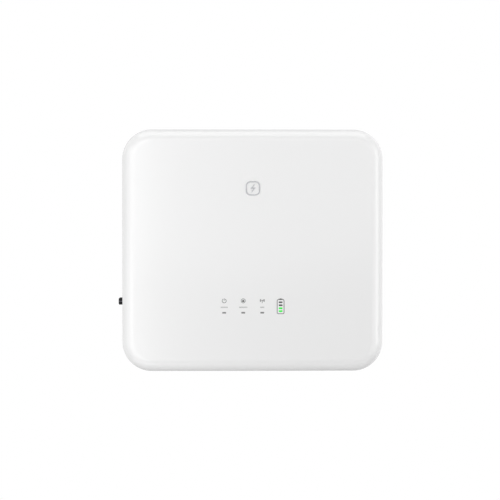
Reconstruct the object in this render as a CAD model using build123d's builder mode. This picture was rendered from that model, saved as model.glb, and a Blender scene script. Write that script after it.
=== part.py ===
from build123d import *

import os

# A wall-hung home battery with its own inverter: a domed white front cover on a metal housing with
# a finned back, a row of indicator lights, and a rotary isolator on the left side. It hangs from a wall
# bracket. +X is the viewer's right, -Y is out of the wall and +Z is up. Y = 0 is the wall, and the origin
# is the centre of the bracket's four wall fixings. Heights are counted from the casing's centre, CENTRE_Z.

os.makedirs("parts", exist_ok=True)

# --------------------------------------------------------------------------------------------------
# Driving dimensions, in millimetres
# --------------------------------------------------------------------------------------------------
WIDTH, HEIGHT, DEPTH = 496, 460, 221
CENTRE_Z = -120
CORNER_R = 56
EDGE_R = 24
CROWN = 5
CROWN_R = (WIDTH / 2) ** 2 / (2 * CROWN)

COVER_WALL = 3
COVER_SKIRT = 90
COVER_REAR = COVER_SKIRT - DEPTH

HOUSING_WALL = 4
HOUSING_INSET = 12
HOUSING_BACK = -34
HOUSING_FLOOR = -185
FLANGE_FRONT = -150
FLANGE_INSET = 4
HOUSING_W = WIDTH - 2 * HOUSING_INSET
HOUSING_TOP = HEIGHT / 2 - HOUSING_INSET
HOUSING_H = HOUSING_TOP - HOUSING_FLOOR
HOUSING_MID = (HOUSING_TOP + HOUSING_FLOOR) / 2
HOUSING_R = CORNER_R - HOUSING_INSET
BACK_INNER = HOUSING_BACK - HOUSING_WALL
SIDE_INNER = HOUSING_W / 2 - HOUSING_WALL
FLANGE_REAR = FLANGE_FRONT + HOUSING_WALL
HOUSING_EDGE_R = 8
GASKET_T = 2

# How far a cutter reaches past a face, and what a blind hole leaves
OVERCUT, BLIND_SKIN = 1, 1

M3_R, M3_HEAD_R, M3_HEAD_T = 1.5, 2.75, 2.2
M4_R, M4_HEAD_R, M4_HEAD_T = 2.0, 3.5, 3.0
SCREW_CLEARANCE = 0.05
# The hexagon in a screw's head, as parts of the shank's radius and of the head's height
KEY_SIZE, KEY_DEPTH = 0.8, 0.6
COVER_SCREW_L, RAIL_SCREW_L, SINK_SCREW_L, SHELF_SCREW_L = 18, 8, 8.5, 5.3
BEZEL_SCREW_L, PLATE_SCREW_L, LIGHT_SCREW_L, PILLAR_SCREW_L, LUG_SCREW_L = 20, 12, 10, 10, 8

# Screws through the housing's flange into the front cover, as (x, height) pairs
LEDGE_X, LEDGE_Z = WIDTH / 2 - 8, HEIGHT / 2 - 8
COVER_SCREWS = [(side * LEDGE_X, z) for side in (-1, 1) for z in (-140, -45, 50, 145)]
COVER_SCREWS += [(x, side * LEDGE_Z) for side in (-1, 1) for x in (-140, 0, 140)]

# Front indicators
LIGHT_PITCH = 36
WINDOW_W, WINDOW_H, WINDOW_R = 7.0, 2.8, 0.8
WINDOW_GAP = 0.1
STATUS_Z = -117.7
GAUGE_X, GAUGE_BOTTOM_Z, GAUGE_PITCH = 52.4, -114.7, 5.6
STATUS_XS = [i * LIGHT_PITCH - 54.4 for i in range(3)]
GAUGE_ZS = [GAUGE_BOTTOM_Z + i * GAUGE_PITCH for i in range(4)]
WINDOWS = [(x, STATUS_Z) for x in STATUS_XS] + [(GAUGE_X, z) for z in GAUGE_ZS]
LIGHT_BOARD_Y, BOARD_T = -196, 1.6
LIGHT_BOARD_W, LIGHT_BOARD_H, LIGHT_BOARD_Z = 150, 44, -108
LIGHT_BOARD_SCREWS = [(x, LIGHT_BOARD_Z + z) for x in (-68, 68) for z in (-16, 16)]
LIGHT_BOSS_R, LIGHT_PILOT, BOARD_CORNER_R = 3.5, 10, 3
LED_W, LED_H, LED_T, LED_GAP = 3.2, 1.8, 1.2, 0.4
LENS_REAR = LIGHT_BOARD_Y - BOARD_T - LED_T - LED_GAP
BADGE_Z, BADGE_SIZE, BADGE_T = 117.7, 27, 1.0
BADGE_R, BADGE_LINE, BADGE_ROOT = 9, 2.2, 6
SPARK = [(3.2, 8.6), (-5.4, -1.4), (-0.4, -1.4), (-3.2, -8.6), (5.4, 1.4), (0.4, 1.4)]

# Isolator on the left side
ISOLATOR_Y, ISOLATOR_Z = -85, -101.2
KNOB_REACH, KNOB_R, KNOB_GAP, DISC_T = 11.4, 17, 0.4, 4.6
BAR_W, BAR_L, BAR_EDGE_R = 13.2, 38, 2
POINTER_W, POINTER_L, POINTER_DEPTH = 2.2, 11, 8
BEZEL_W, BEZEL_R, BEZEL_T = 46, 6, 4
SEAL_W, SEAL_R, SEAL_T = 44, 5, 1
SHAFT_R, SHAFT_SQUARE, RUNNING, SQUARE_PLAY = 5, 7, 0.05, 0.1
SHAFT_TIP = 10
SPIGOT_R, SPIGOT_HOLE_R = 8, 8.2
SWITCH_W, SWITCH_L, SWITCH_CORNER_R, SWITCH_WALL, SWITCH_PILOT = 52, 62, 4, 5, 14
ROTOR_R, ROTOR_L, BLADE_R, BLADE_W, SWITCH_BORE_R = 14, 48, 16.5, 6, 18
DECKS = (14, 34)
CONTACT_W, CONTACT_IN, CONTACT_OUT = 8, 17, 30
BEZEL_SCREWS = [(y, z) for y in (-18, 18) for z in (-18, 18)]

# Battery pack
CELLS = 8
CELL_T, CELL_W, CELL_H, CELL_EDGE_R = 50, 160, 118, 4
VENT_L, VENT_W, VENT_DEPTH = 24, 12, 0.8
SHEET_T, SHEET_MARGIN = 1, 2
CELL_PITCH = CELL_T + SHEET_T
CELL_FLOOR = 44
CELL_BACK = -46
CELL_FRONT = CELL_BACK - CELL_H
CELL_MID = CELL_FLOOR + CELL_W / 2
PACK_HALF = (CELLS * CELL_PITCH - SHEET_T) / 2
TERMINAL_OFF, TERMINAL_SIZE, TERMINAL_T = 45, 18, 3
LINK_T, LINK_R, LINK_MARGIN, LEAD_TAB = 2, 3, 1, 12
END_PLATE_T, END_PLATE_H = 10, 152
BAND_W, BAND_T, BAND_EDGE = 10, 1, 8
SHELF_W, SHELF_T, SHELF_LIP, SHELF_FLANGE_W, SHELF_FLANGE_H = 432, 2.5, 2, 372, 26
SHELF_SCREWS = [(x, CELL_FLOOR + 14) for x in (-150, -50, 50, 150)]
LUG_H, LUG_PILOT, PLATE_PILOT = 12, 8, 10
MONITOR_Y, MONITOR_H, MONITOR_MARGIN = CELL_FRONT - 10, 62, 4.5
CELL_XS = [(i - (CELLS - 1) / 2) * CELL_PITCH for i in range(CELLS)]
END_PLATE_X = PACK_HALF + END_PLATE_T / 2
LUGS = [(side * END_PLATE_X, CELL_MID + z) for side in (-1, 1) for z in (-22, 22)]
END_PLATE_SCREWS = [(side * END_PLATE_X, y) for side in (-1, 1) for y in (75, 135)]

# Power electronics
BOARD_W, BOARD_H, BOARD_R, BOARD_X, BOARD_Z, BOARD_Y = 380, 200, 5, 30, -70, -60
PILLARS = [(BOARD_X + x, BOARD_Z + z) for x in (-184, 184) for z in (-94, 94)]
PILLAR_R, PILLAR_PILOT = 5, 10
WINDOW_BACK_W, WINDOW_BACK_H, WINDOW_BACK_R, WINDOW_BACK_X, WINDOW_BACK_Z = 330, 170, 6, 25, -70
SINK_W, SINK_H, SINK_R, SINK_Z = 420, 212, 6, -70
SINK_BASE_T, SINK_REACH, SINK_PAD_GAP = 6, 28, 2
SINK_GASKET_W, SINK_GASKET_T = 8, 1
FIN_T, FIN_PITCH, FIN_MARGIN = 2.4, 11.5, 4
MODULE_W, MODULE_H, MODULE_R, MODULE_PITCH, MODULE_Z = 60, 46, 3, 75, -40
CAPACITOR_R, CAPACITOR_H, CAPACITOR_EDGE_R, CAPACITOR_PITCH = 16, 50, 2, 38
CAPACITOR_X, CAPACITOR_Z = 70, -60
CHOKE_R, CHOKE_HOLE_R, CHOKE_T, CHOKE_EDGE_R, CHOKE_Z = 32, 13, 30, 7, -10
RELAY_X, RELAY_Z, RELAY_W, RELAY_R, RELAY_DEPTH = CELL_XS[-1], -52, 44, 3, 42
POST_R, POST_L, POST_OFF = 3, 8, 12
BLADE_T, BLADE_LENGTH, BLADE_WIDTH, BLADE_HOLE_R = 3, 66, 12, 3.2
FUSE_R, FUSE_L, FUSE_Z = 9, 32, RELAY_Z + 38
BLOCK_X, BLOCK_Z, BLOCK_W, BLOCK_H, BLOCK_DEPTH = 20, -152, 110, 24, 30
WAYS, WAY_PITCH, WAY_R, WAY_DEPTH, WAY_Y = 5, 20, 4, 14, 10
CLAMP_R, CLAMP_DEPTH = 3, 3
SINK_SCREWS = [(x, SINK_Z + z) for x in (-60, 25, 110) for z in (-98, 98)]
SINK_SCREWS += [(x, SINK_Z) for x in (-154, 204)]

# Wall bracket and the rail that hooks on it. Their heights are counted from the origin.
SHEET = 2.5
BRACKET_W, BRACKET_H, BRACKET_R, HOOK_TOP, HOOK_Y = 300, 90, 8, 58, -14
FIXING_X, FIXING_Z, FIXING_R = 240, 50, 4.25
SLOT_W, SLOT_H = 150, 34
RAIL_W, RAIL_FOOT, RAIL_TIP, TIP_LIFT = 340, 20, 8.5, 1
RAIL_SCREWS = [(x, 30) for x in (-140, -70, 0, 70, 140)]
RAIL_SCREWS_UP = [(x, z - CENTRE_Z) for x, z in RAIL_SCREWS]
PAD_R, PAD_T, RAIL_PILOT = 6, 6, 7
BUFFERS, BUFFER_R, BUFFER_CHAMFER = [(-222, -130), (222, -130)], 9, 2

# Underside of the housing: what each connection is, left to right
UNDER_Y = -92
BREATHER_X, BUTTON_X, NEGATIVE_X, POSITIVE_X = -180, -145, -105, -65
EARTH_X = 150
FLOOR_TOP = HOUSING_FLOOR + HOUSING_WALL
# Each gland's x, bore radius and neck radius
GLANDS = [(-5, 7.0, 12.5), (50, 7.0, 12.5), (100, 4.5, 10)]
NECK_UP, GLAND_NUT_T, GLAND_CAP_T, GLAND_DOME_T, GLAND_TAPER = 9, 7, 14, 7, 30
GLAND_NUT_RIM, GLAND_CAP_RIM, GLAND_DOME_RIM = 5, 3.5, 1
GLAND_LENGTH = HOUSING_WALL + NECK_UP + GLAND_NUT_T + GLAND_CAP_T + GLAND_DOME_T
SOCKET_R, SOCKET_DEPTH = 4.2, 20
DC_NECK_R, DC_NECK_UP, DC_FLANGE_R, DC_FLANGE_T = 8, 12, 12, 5
DC_BARREL_R, DC_BARREL_L, DC_EDGE_R = 8.6, 24, 1
BREATHER_NECK_R, BREATHER_UP, BREATHER_R, BREATHER_T = 5, 6, 10, 7
EARTH_R, EARTH_NUT_R, EARTH_NUT_T, EARTH_L = 3, 5.8, 5, 28
HOLE_GAP, LOCKNUT_T, LOCKNUT_RIM = 0.1, 5, 4.5
NECKS = [(x, neck) for x, _, neck in GLANDS]
NECKS += [(x, DC_NECK_R) for x in (NEGATIVE_X, POSITIVE_X)]

# Start button: a sealed push switch whose button slides up against a spring
BUTTON_R, BUTTON_OUT, COLLAR_R, COLLAR_T, TAIL_R, TAIL_L = 5, 3.5, 6.3, 2.5, 1.8, 8
SWITCH_NECK_R, LIP_R, LIP_T = 8, 11, 2.5
CAVITY_R, CAVITY_H, LEDGE_T, SWITCH_CAP_T = 6.6, 14, 3, 8
SPRING_WIRE, SPRING_R, SPRING_TURNS, SPRING_GAP = 0.4, 3.6, 5, 0.05


def facing(y):
    """Plane at that depth, seen from the front: its normal points out of the wall."""
    return Plane(origin=(0, y, CENTRE_Z), x_dir=(1, 0, 0), z_dir=(0, -1, 0))


def below(height):
    """Plane at that height, whose normal points down and whose second axis points out of the wall."""
    return Plane(origin=(0, 0, CENTRE_Z + height), x_dir=(1, 0, 0), z_dir=(0, 0, -1))


def leftward(x):
    """Plane across the isolator's axis, whose normal points out of the casing's left side."""
    return Plane(origin=(x, ISOLATOR_Y, CENTRE_Z + ISOLATOR_Z), x_dir=(0, -1, 0), z_dir=(-1, 0, 0))


def finish(piece, label):
    """Names a finished sub-part and writes it."""
    piece.part.label = label
    export_step(piece.part, f"parts/{label}.step")


def pillow(inset, rear):
    """The front cover's outer form from that depth forwards, smaller by inset on every side."""
    with BuildPart() as block:
        with BuildSketch(facing(rear)):
            RectangleRounded(WIDTH - 2 * inset, HEIGHT - 2 * inset, CORNER_R - inset)
        extrude(amount=rear + DEPTH + CROWN)
        with Locations((0, CROWN_R - DEPTH, CENTRE_Z)):
            Sphere(CROWN_R - inset, mode=Mode.INTERSECT)
        fillet(block.faces().sort_by(Axis.Y)[0].edges(), EDGE_R - inset)
    return block.part


def ring(width, height, radius, wall):
    """A rounded rectangle's outline, wall wide, inside that size."""
    RectangleRounded(width, height, radius)
    RectangleRounded(width - 2 * wall, height - 2 * wall, radius - wall, mode=Mode.SUBTRACT)


# --------------------------------------------------------------------------------------------------
# Front cover: the domed shell, its sealing rib, and the bosses for its screws and the indicator board
# --------------------------------------------------------------------------------------------------
RIB_INSET, RIB_WALL = 0.5, 3
BOSS_R, BOSS_FOOT_R, BOSS_LENGTH, PILOT_DEPTH = 5.5, 4.4, 30, 20
cover_form = pillow(0, COVER_REAR)
cover_hollow = pillow(COVER_WALL, COVER_REAR + OVERCUT)

with BuildPart() as cover_ribs:
    with BuildSketch(facing(FLANGE_FRONT - GASKET_T)):
        with Locations((0, HOUSING_MID)):
            ring(HOUSING_W - 2 * RIB_INSET, HOUSING_H - 2 * RIB_INSET, HOUSING_R - RIB_INSET, RIB_WALL)
    extrude(amount=DEPTH)
    with BuildSketch(facing(FLANGE_FRONT)):
        with Locations(*COVER_SCREWS):
            Circle(BOSS_FOOT_R)
    extrude(amount=GASKET_T)
    with BuildSketch(facing(FLANGE_FRONT - GASKET_T)):
        with Locations(*COVER_SCREWS):
            Circle(BOSS_R)
    extrude(amount=BOSS_LENGTH)
    with BuildSketch(facing(LIGHT_BOARD_Y - BOARD_T)):
        with Locations(*LIGHT_BOARD_SCREWS):
            Circle(LIGHT_BOSS_R)
    extrude(amount=DEPTH)
    add(pillow(COVER_WALL / 2, COVER_REAR), mode=Mode.INTERSECT)

with BuildPart() as front_cover:
    add(cover_form)
    add(cover_hollow, mode=Mode.SUBTRACT)
    add(cover_ribs.part)
    with BuildSketch(facing(FLANGE_FRONT)):
        with Locations(*COVER_SCREWS):
            Circle(M4_R + SCREW_CLEARANCE)
    extrude(amount=PILOT_DEPTH, mode=Mode.SUBTRACT)
    with BuildSketch(facing(LIGHT_BOARD_Y - BOARD_T)):
        with Locations(*LIGHT_BOARD_SCREWS):
            Circle(M3_R + SCREW_CLEARANCE)
    extrude(amount=LIGHT_PILOT, mode=Mode.SUBTRACT)
    with BuildSketch(facing(LIGHT_BOARD_Y)):
        with Locations(*WINDOWS):
            RectangleRounded(WINDOW_W + 2 * WINDOW_GAP, WINDOW_H + 2 * WINDOW_GAP, WINDOW_R)
    extrude(amount=DEPTH, mode=Mode.SUBTRACT)
finish(front_cover, "front_cover")

# --------------------------------------------------------------------------------------------------
# Light pipes, one in each window, flush with the dome and shouldered behind it
# --------------------------------------------------------------------------------------------------
SHOULDER_W, SHOULDER_H = 9.4, 4.8
LENSES = dict(zip(["power_lens", "backup_lens", "comms_lens"], WINDOWS))
LENSES.update({f"charge_lens_{i + 1}": (GAUGE_X, z) for i, z in enumerate(GAUGE_ZS)})
behind_skin = pillow(COVER_WALL + WINDOW_GAP, COVER_REAR)

for lens_name, place in LENSES.items():
    with BuildPart() as shoulder:
        with BuildSketch(facing(LENS_REAR)):
            with Locations(place):
                RectangleRounded(SHOULDER_W, SHOULDER_H, WINDOW_R)
        extrude(amount=DEPTH)
        add(behind_skin, mode=Mode.INTERSECT)
    with BuildPart() as light_pipe:
        with BuildSketch(facing(LENS_REAR)):
            with Locations(place):
                RectangleRounded(WINDOW_W, WINDOW_H, WINDOW_R)
        extrude(amount=DEPTH)
        add(cover_form, mode=Mode.INTERSECT)
        add(shoulder.part)
    finish(light_pipe, lens_name)

with BuildPart() as indicator_board:
    with BuildSketch(facing(LIGHT_BOARD_Y)):
        with Locations((0, LIGHT_BOARD_Z)):
            RectangleRounded(LIGHT_BOARD_W, LIGHT_BOARD_H, BOARD_CORNER_R)
        with Locations(*LIGHT_BOARD_SCREWS):
            Circle(M3_R + SCREW_CLEARANCE, mode=Mode.SUBTRACT)
    extrude(amount=BOARD_T)
    with BuildSketch(facing(LIGHT_BOARD_Y - BOARD_T)):
        with Locations(*WINDOWS):
            Rectangle(LED_W, LED_H)
    extrude(amount=LED_T)
finish(indicator_board, "indicator_board")

# --------------------------------------------------------------------------------------------------
# Badge: a plain raised ring with a spark in it, whose back follows the dome
# --------------------------------------------------------------------------------------------------
with BuildPart() as badge:
    with BuildSketch(facing(BADGE_ROOT - DEPTH)):
        with Locations((0, BADGE_Z)):
            ring(BADGE_SIZE, BADGE_SIZE, BADGE_R, BADGE_LINE)
        with BuildLine():
            Polyline(*[(x, BADGE_Z + z) for x, z in SPARK], close=True)
        make_face()
    extrude(amount=BADGE_ROOT + BADGE_T - BADGE_Z**2 / (2 * CROWN_R))
    add(cover_form, mode=Mode.SUBTRACT)
finish(badge, "badge")

# --------------------------------------------------------------------------------------------------
# Rear housing: a tray with a flange welded round its mouth, open at the back behind the heat sink
# --------------------------------------------------------------------------------------------------
with BuildPart() as rear_housing:
    with BuildSketch(facing(HOUSING_BACK)):
        with Locations((0, HOUSING_MID)):
            RectangleRounded(HOUSING_W, HOUSING_H, HOUSING_R)
    extrude(amount=HOUSING_BACK - FLANGE_FRONT)
    fillet(rear_housing.faces().sort_by(Axis.Y)[-1].edges(), HOUSING_EDGE_R)
    with BuildSketch(facing(BACK_INNER)):
        with Locations((0, HOUSING_MID)):
            RectangleRounded(
                HOUSING_W - 2 * HOUSING_WALL, HOUSING_H - 2 * HOUSING_WALL, HOUSING_R - HOUSING_WALL
            )
    extrude(amount=DEPTH, mode=Mode.SUBTRACT)
    with BuildSketch(facing(BACK_INNER)):
        with Locations(*PILLARS):
            Circle(PILLAR_R)
    extrude(amount=BACK_INNER - BOARD_Y)
    with BuildSketch(facing(BACK_INNER)):
        with Locations(*RAIL_SCREWS_UP):
            Circle(PAD_R)
    extrude(amount=PAD_T)
    with BuildSketch(facing(HOUSING_BACK)):
        with Locations((WINDOW_BACK_X, WINDOW_BACK_Z)):
            RectangleRounded(WINDOW_BACK_W, WINDOW_BACK_H, WINDOW_BACK_R)
        with Locations(*SINK_SCREWS):
            Circle(M4_R + SCREW_CLEARANCE)
    extrude(amount=HOUSING_WALL, mode=Mode.SUBTRACT)
    with BuildSketch(facing(HOUSING_BACK)):
        with Locations(*RAIL_SCREWS_UP):
            Circle(M4_R + SCREW_CLEARANCE)
    extrude(amount=RAIL_PILOT, mode=Mode.SUBTRACT)
    with BuildSketch(facing(BACK_INNER)):
        with Locations(*SHELF_SCREWS):
            Circle(M4_R + SCREW_CLEARANCE)
    extrude(amount=-HOUSING_WALL + BLIND_SKIN, mode=Mode.SUBTRACT)
    with BuildSketch(facing(BOARD_Y)):
        with Locations(*PILLARS):
            Circle(M3_R + SCREW_CLEARANCE)
    extrude(amount=-PILLAR_PILOT, mode=Mode.SUBTRACT)
    with BuildSketch(leftward(-SIDE_INNER)):
        Circle(SPIGOT_HOLE_R)
        with Locations(*BEZEL_SCREWS):
            Circle(M4_R + SCREW_CLEARANCE)
    extrude(amount=HOUSING_WALL, mode=Mode.SUBTRACT)
    with BuildSketch(below(FLOOR_TOP)):
        for hole_x, neck_r in [*NECKS, (BUTTON_X, SWITCH_NECK_R), (BREATHER_X, BREATHER_NECK_R)]:
            with Locations((hole_x, -UNDER_Y)):
                Circle(neck_r + HOLE_GAP)
        with Locations((EARTH_X, -UNDER_Y)):
            Circle(EARTH_R + SCREW_CLEARANCE)
    extrude(amount=HOUSING_WALL, mode=Mode.SUBTRACT)
finish(rear_housing, "rear_housing")

with BuildPart() as housing_flange:
    with BuildSketch(facing(FLANGE_REAR)):
        RectangleRounded(WIDTH - 2 * FLANGE_INSET, HEIGHT - 2 * FLANGE_INSET, CORNER_R - FLANGE_INSET)
        with Locations((0, HOUSING_MID)):
            RectangleRounded(HOUSING_W, HOUSING_H, HOUSING_R, mode=Mode.SUBTRACT)
        with Locations(*COVER_SCREWS):
            Circle(M4_R + SCREW_CLEARANCE, mode=Mode.SUBTRACT)
    extrude(amount=HOUSING_WALL)
finish(housing_flange, "housing_flange")

with BuildPart() as cover_gasket:
    with BuildSketch(facing(FLANGE_FRONT)):
        with Locations((0, HOUSING_MID)):
            ring(HOUSING_W - 2 * RIB_INSET, HOUSING_H - 2 * RIB_INSET, HOUSING_R - RIB_INSET, RIB_WALL)
    extrude(amount=GASKET_T)
finish(cover_gasket, "cover_gasket")

# --------------------------------------------------------------------------------------------------
# Heat sink on the back, with a pad that comes through the housing's window
# --------------------------------------------------------------------------------------------------
SINK_BASE_Y = HOUSING_BACK + SINK_GASKET_T
with BuildPart() as heat_sink:
    with BuildSketch(facing(SINK_BASE_Y)):
        with Locations((0, SINK_Z)):
            RectangleRounded(SINK_W, SINK_H, SINK_R)
    extrude(amount=-SINK_BASE_T)
    with BuildSketch(facing(SINK_BASE_Y)):
        with Locations((WINDOW_BACK_X, WINDOW_BACK_Z)):
            RectangleRounded(
                WINDOW_BACK_W - 2 * SINK_PAD_GAP, WINDOW_BACK_H - 2 * SINK_PAD_GAP,
                WINDOW_BACK_R - SINK_PAD_GAP,
            )
    extrude(amount=SINK_BASE_Y - BACK_INNER)
    with BuildSketch(facing(SINK_BASE_Y + SINK_BASE_T)):
        with Locations((0, SINK_Z)):
            with GridLocations(FIN_PITCH, 0, int(SINK_W / FIN_PITCH), 1):
                Rectangle(FIN_T, SINK_H - 2 * FIN_MARGIN)
    extrude(amount=-(SINK_REACH - SINK_BASE_T))
    with BuildSketch(facing(SINK_BASE_Y)):
        with Locations(*SINK_SCREWS):
            Circle(M4_R + SCREW_CLEARANCE)
    extrude(amount=-SINK_BASE_T + BLIND_SKIN, mode=Mode.SUBTRACT)
finish(heat_sink, "heat_sink")

with BuildPart() as heat_sink_gasket:
    with BuildSketch(facing(HOUSING_BACK)):
        with Locations((WINDOW_BACK_X, WINDOW_BACK_Z)):
            ring(
                WINDOW_BACK_W + 2 * SINK_GASKET_W, WINDOW_BACK_H + 2 * SINK_GASKET_W,
                WINDOW_BACK_R + SINK_GASKET_W, SINK_GASKET_W,
            )
    extrude(amount=-SINK_GASKET_T)
finish(heat_sink_gasket, "heat_sink_gasket")

# --------------------------------------------------------------------------------------------------
# Wall bracket, the rail that hooks over it, and the rubber buffers that keep the casing's foot off the wall
# --------------------------------------------------------------------------------------------------
RAIL_BACK = HOUSING_BACK + SHEET
side_view = Plane(origin=(0, 0, 0), x_dir=(0, -1, 0), z_dir=(-1, 0, 0))

with BuildPart() as wall_bracket:
    with BuildSketch(side_view):
        with BuildLine():
            Polyline(
                (0, -BRACKET_H / 2), (SHEET, -BRACKET_H / 2), (SHEET, BRACKET_H / 2 - SHEET),
                (-HOOK_Y, BRACKET_H / 2 - SHEET), (-HOOK_Y, HOOK_TOP), (-HOOK_Y - SHEET, HOOK_TOP),
                (-HOOK_Y - SHEET, BRACKET_H / 2), (0, BRACKET_H / 2), close=True,
            )
        make_face()
    extrude(amount=BRACKET_W / 2, both=True)
    with BuildSketch(Plane.XZ):
        with GridLocations(FIXING_X, FIXING_Z, 2, 2):
            Circle(FIXING_R)
        SlotOverall(SLOT_W, SLOT_H)
    extrude(amount=SHEET, mode=Mode.SUBTRACT)
    lower_corners = wall_bracket.edges().filter_by(Axis.Y).group_by(Axis.Z)[0]
    fillet(lower_corners, BRACKET_R)
finish(wall_bracket, "wall_bracket")

with BuildPart() as hanger_rail:
    with BuildSketch(side_view):
        with BuildLine():
            Polyline(
                (-HOUSING_BACK, RAIL_FOOT), (-HOUSING_BACK, HOOK_TOP + SHEET),
                (RAIL_TIP, HOOK_TOP + SHEET), (RAIL_TIP, BRACKET_H / 2 + TIP_LIFT),
                (RAIL_TIP + SHEET, BRACKET_H / 2 + TIP_LIFT), (RAIL_TIP + SHEET, HOOK_TOP),
                (-RAIL_BACK, HOOK_TOP), (-RAIL_BACK, RAIL_FOOT), close=True,
            )
        make_face()
    extrude(amount=RAIL_W / 2, both=True)
    with BuildSketch(Plane.XZ.offset(-RAIL_BACK)):
        with Locations(*RAIL_SCREWS):
            Circle(M4_R + SCREW_CLEARANCE)
    extrude(amount=SHEET, mode=Mode.SUBTRACT)
finish(hanger_rail, "hanger_rail")

with BuildPart() as wall_buffers:
    with BuildSketch(facing(HOUSING_BACK)):
        with Locations(*BUFFERS):
            Circle(BUFFER_R)
    extrude(amount=HOUSING_BACK)
    chamfer(wall_buffers.faces().sort_by(Axis.Y)[-2:].edges(), BUFFER_CHAMFER)
finish(wall_buffers, "wall_buffers")

# --------------------------------------------------------------------------------------------------
# Isolator: bezel and seal outside the left wall, switch body inside, and the knob, shaft and rotor, which
# turn together
# --------------------------------------------------------------------------------------------------
WALL_X = -HOUSING_W / 2
BEZEL_REAR = WALL_X - SEAL_T
BEZEL_FRONT = BEZEL_REAR - BEZEL_T
KNOB_REAR = BEZEL_FRONT - KNOB_GAP
KNOB_TOP = -WIDTH / 2 - KNOB_REACH
DISC_TOP = KNOB_REAR - DISC_T
SWITCH_FRONT = -SIDE_INNER
BORE_REAR = SWITCH_FRONT + SWITCH_WALL
TURNED_CHAMFER, ROTOR_GAP = 1, 1

with BuildPart() as isolator_seal:
    with BuildSketch(leftward(WALL_X)):
        RectangleRounded(SEAL_W, SEAL_W, SEAL_R)
        Circle(SPIGOT_HOLE_R, mode=Mode.SUBTRACT)
        with Locations(*BEZEL_SCREWS):
            Circle(M4_R + SCREW_CLEARANCE, mode=Mode.SUBTRACT)
    extrude(amount=SEAL_T)
finish(isolator_seal, "isolator_seal")

with BuildPart() as isolator_bezel:
    with BuildSketch(leftward(BEZEL_REAR)):
        RectangleRounded(BEZEL_W, BEZEL_W, BEZEL_R)
    extrude(amount=BEZEL_T)
    chamfer(isolator_bezel.faces().sort_by(Axis.X)[0].edges(), TURNED_CHAMFER)
    with BuildSketch(leftward(BEZEL_REAR)):
        Circle(SPIGOT_R)
    extrude(amount=BEZEL_REAR + SIDE_INNER)
    with BuildSketch(leftward(SWITCH_FRONT)):
        Circle(SHAFT_R + RUNNING)
    extrude(amount=SWITCH_FRONT - BEZEL_FRONT, mode=Mode.SUBTRACT)
    with BuildSketch(leftward(BEZEL_REAR)):
        with Locations(*BEZEL_SCREWS):
            Circle(M4_R + SCREW_CLEARANCE)
    extrude(amount=BEZEL_T, mode=Mode.SUBTRACT)
finish(isolator_bezel, "isolator_bezel")

with BuildPart() as isolator_body:
    with BuildSketch(leftward(SWITCH_FRONT)):
        RectangleRounded(SWITCH_W, SWITCH_W, SWITCH_CORNER_R)
    extrude(amount=-SWITCH_L)
    with BuildSketch(leftward(SWITCH_FRONT)):
        Circle(SHAFT_R + RUNNING)
    extrude(amount=-SWITCH_L, mode=Mode.SUBTRACT)
    with BuildSketch(leftward(BORE_REAR)):
        Circle(SWITCH_BORE_R)
    extrude(amount=-SWITCH_L, mode=Mode.SUBTRACT)
    with BuildSketch(leftward(SWITCH_FRONT)):
        with Locations(*BEZEL_SCREWS):
            Circle(M4_R + SCREW_CLEARANCE)
    extrude(amount=-SWITCH_PILOT, mode=Mode.SUBTRACT)
    for deck in DECKS:
        with BuildSketch(leftward(SWITCH_FRONT + deck)):
            Rectangle(CONTACT_W, SWITCH_W)
        extrude(amount=-CONTACT_W, mode=Mode.SUBTRACT)
finish(isolator_body, "isolator_body")

with BuildPart() as isolator_contacts:
    for deck in DECKS:
        with BuildSketch(leftward(SWITCH_FRONT + deck)):
            with GridLocations(0, CONTACT_IN + CONTACT_OUT, 1, 2):
                Rectangle(CONTACT_W, CONTACT_OUT - CONTACT_IN)
        extrude(amount=-CONTACT_W)
finish(isolator_contacts, "isolator_contacts")

with BuildPart() as isolator_rotor:
    with BuildSketch(leftward(BORE_REAR + ROTOR_GAP)):
        Circle(ROTOR_R)
    extrude(amount=-ROTOR_L)
    for deck in DECKS:
        with BuildSketch(leftward(SWITCH_FRONT + deck + (CONTACT_W - BLADE_W) / 2)):
            Rectangle(BLADE_W, 2 * BLADE_R)
        extrude(amount=-BLADE_W)
    with BuildSketch(leftward(BORE_REAR + ROTOR_GAP)):
        Rectangle(SHAFT_SQUARE + SQUARE_PLAY, SHAFT_SQUARE + SQUARE_PLAY)
    extrude(amount=-ROTOR_L, mode=Mode.SUBTRACT)
finish(isolator_rotor, "isolator_rotor")

with BuildPart() as isolator_shaft:
    with BuildSketch(leftward(BORE_REAR)):
        Circle(SHAFT_R)
    extrude(amount=BORE_REAR - KNOB_REAR)
    with BuildSketch(leftward(BORE_REAR)):
        Rectangle(SHAFT_SQUARE - 2 * SQUARE_PLAY, SHAFT_SQUARE - 2 * SQUARE_PLAY)
    extrude(amount=-ROTOR_L)
    with BuildSketch(leftward(KNOB_REAR)):
        Rectangle(SHAFT_SQUARE - 2 * SQUARE_PLAY, SHAFT_SQUARE - 2 * SQUARE_PLAY)
    extrude(amount=SHAFT_TIP)
finish(isolator_shaft, "isolator_shaft")

with BuildPart() as pointer_space:
    with BuildSketch(leftward(KNOB_TOP + POINTER_DEPTH)):
        with Locations(((BAR_L - POINTER_L) / 2 + OVERCUT, 0)):
            Rectangle(POINTER_L + 2 * OVERCUT, POINTER_W)
    extrude(amount=POINTER_DEPTH + OVERCUT)

with BuildPart() as knob_form:
    with BuildSketch(leftward(KNOB_REAR)):
        Circle(KNOB_R)
    extrude(amount=DISC_T)
    chamfer(knob_form.faces().sort_by(Axis.X)[0].edges(), TURNED_CHAMFER)
    with BuildSketch(leftward(DISC_TOP + TURNED_CHAMFER)):
        SlotOverall(BAR_L, BAR_W)
    extrude(amount=DISC_TOP + TURNED_CHAMFER - KNOB_TOP)
    fillet(knob_form.faces().sort_by(Axis.X)[0].edges(), BAR_EDGE_R)

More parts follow.
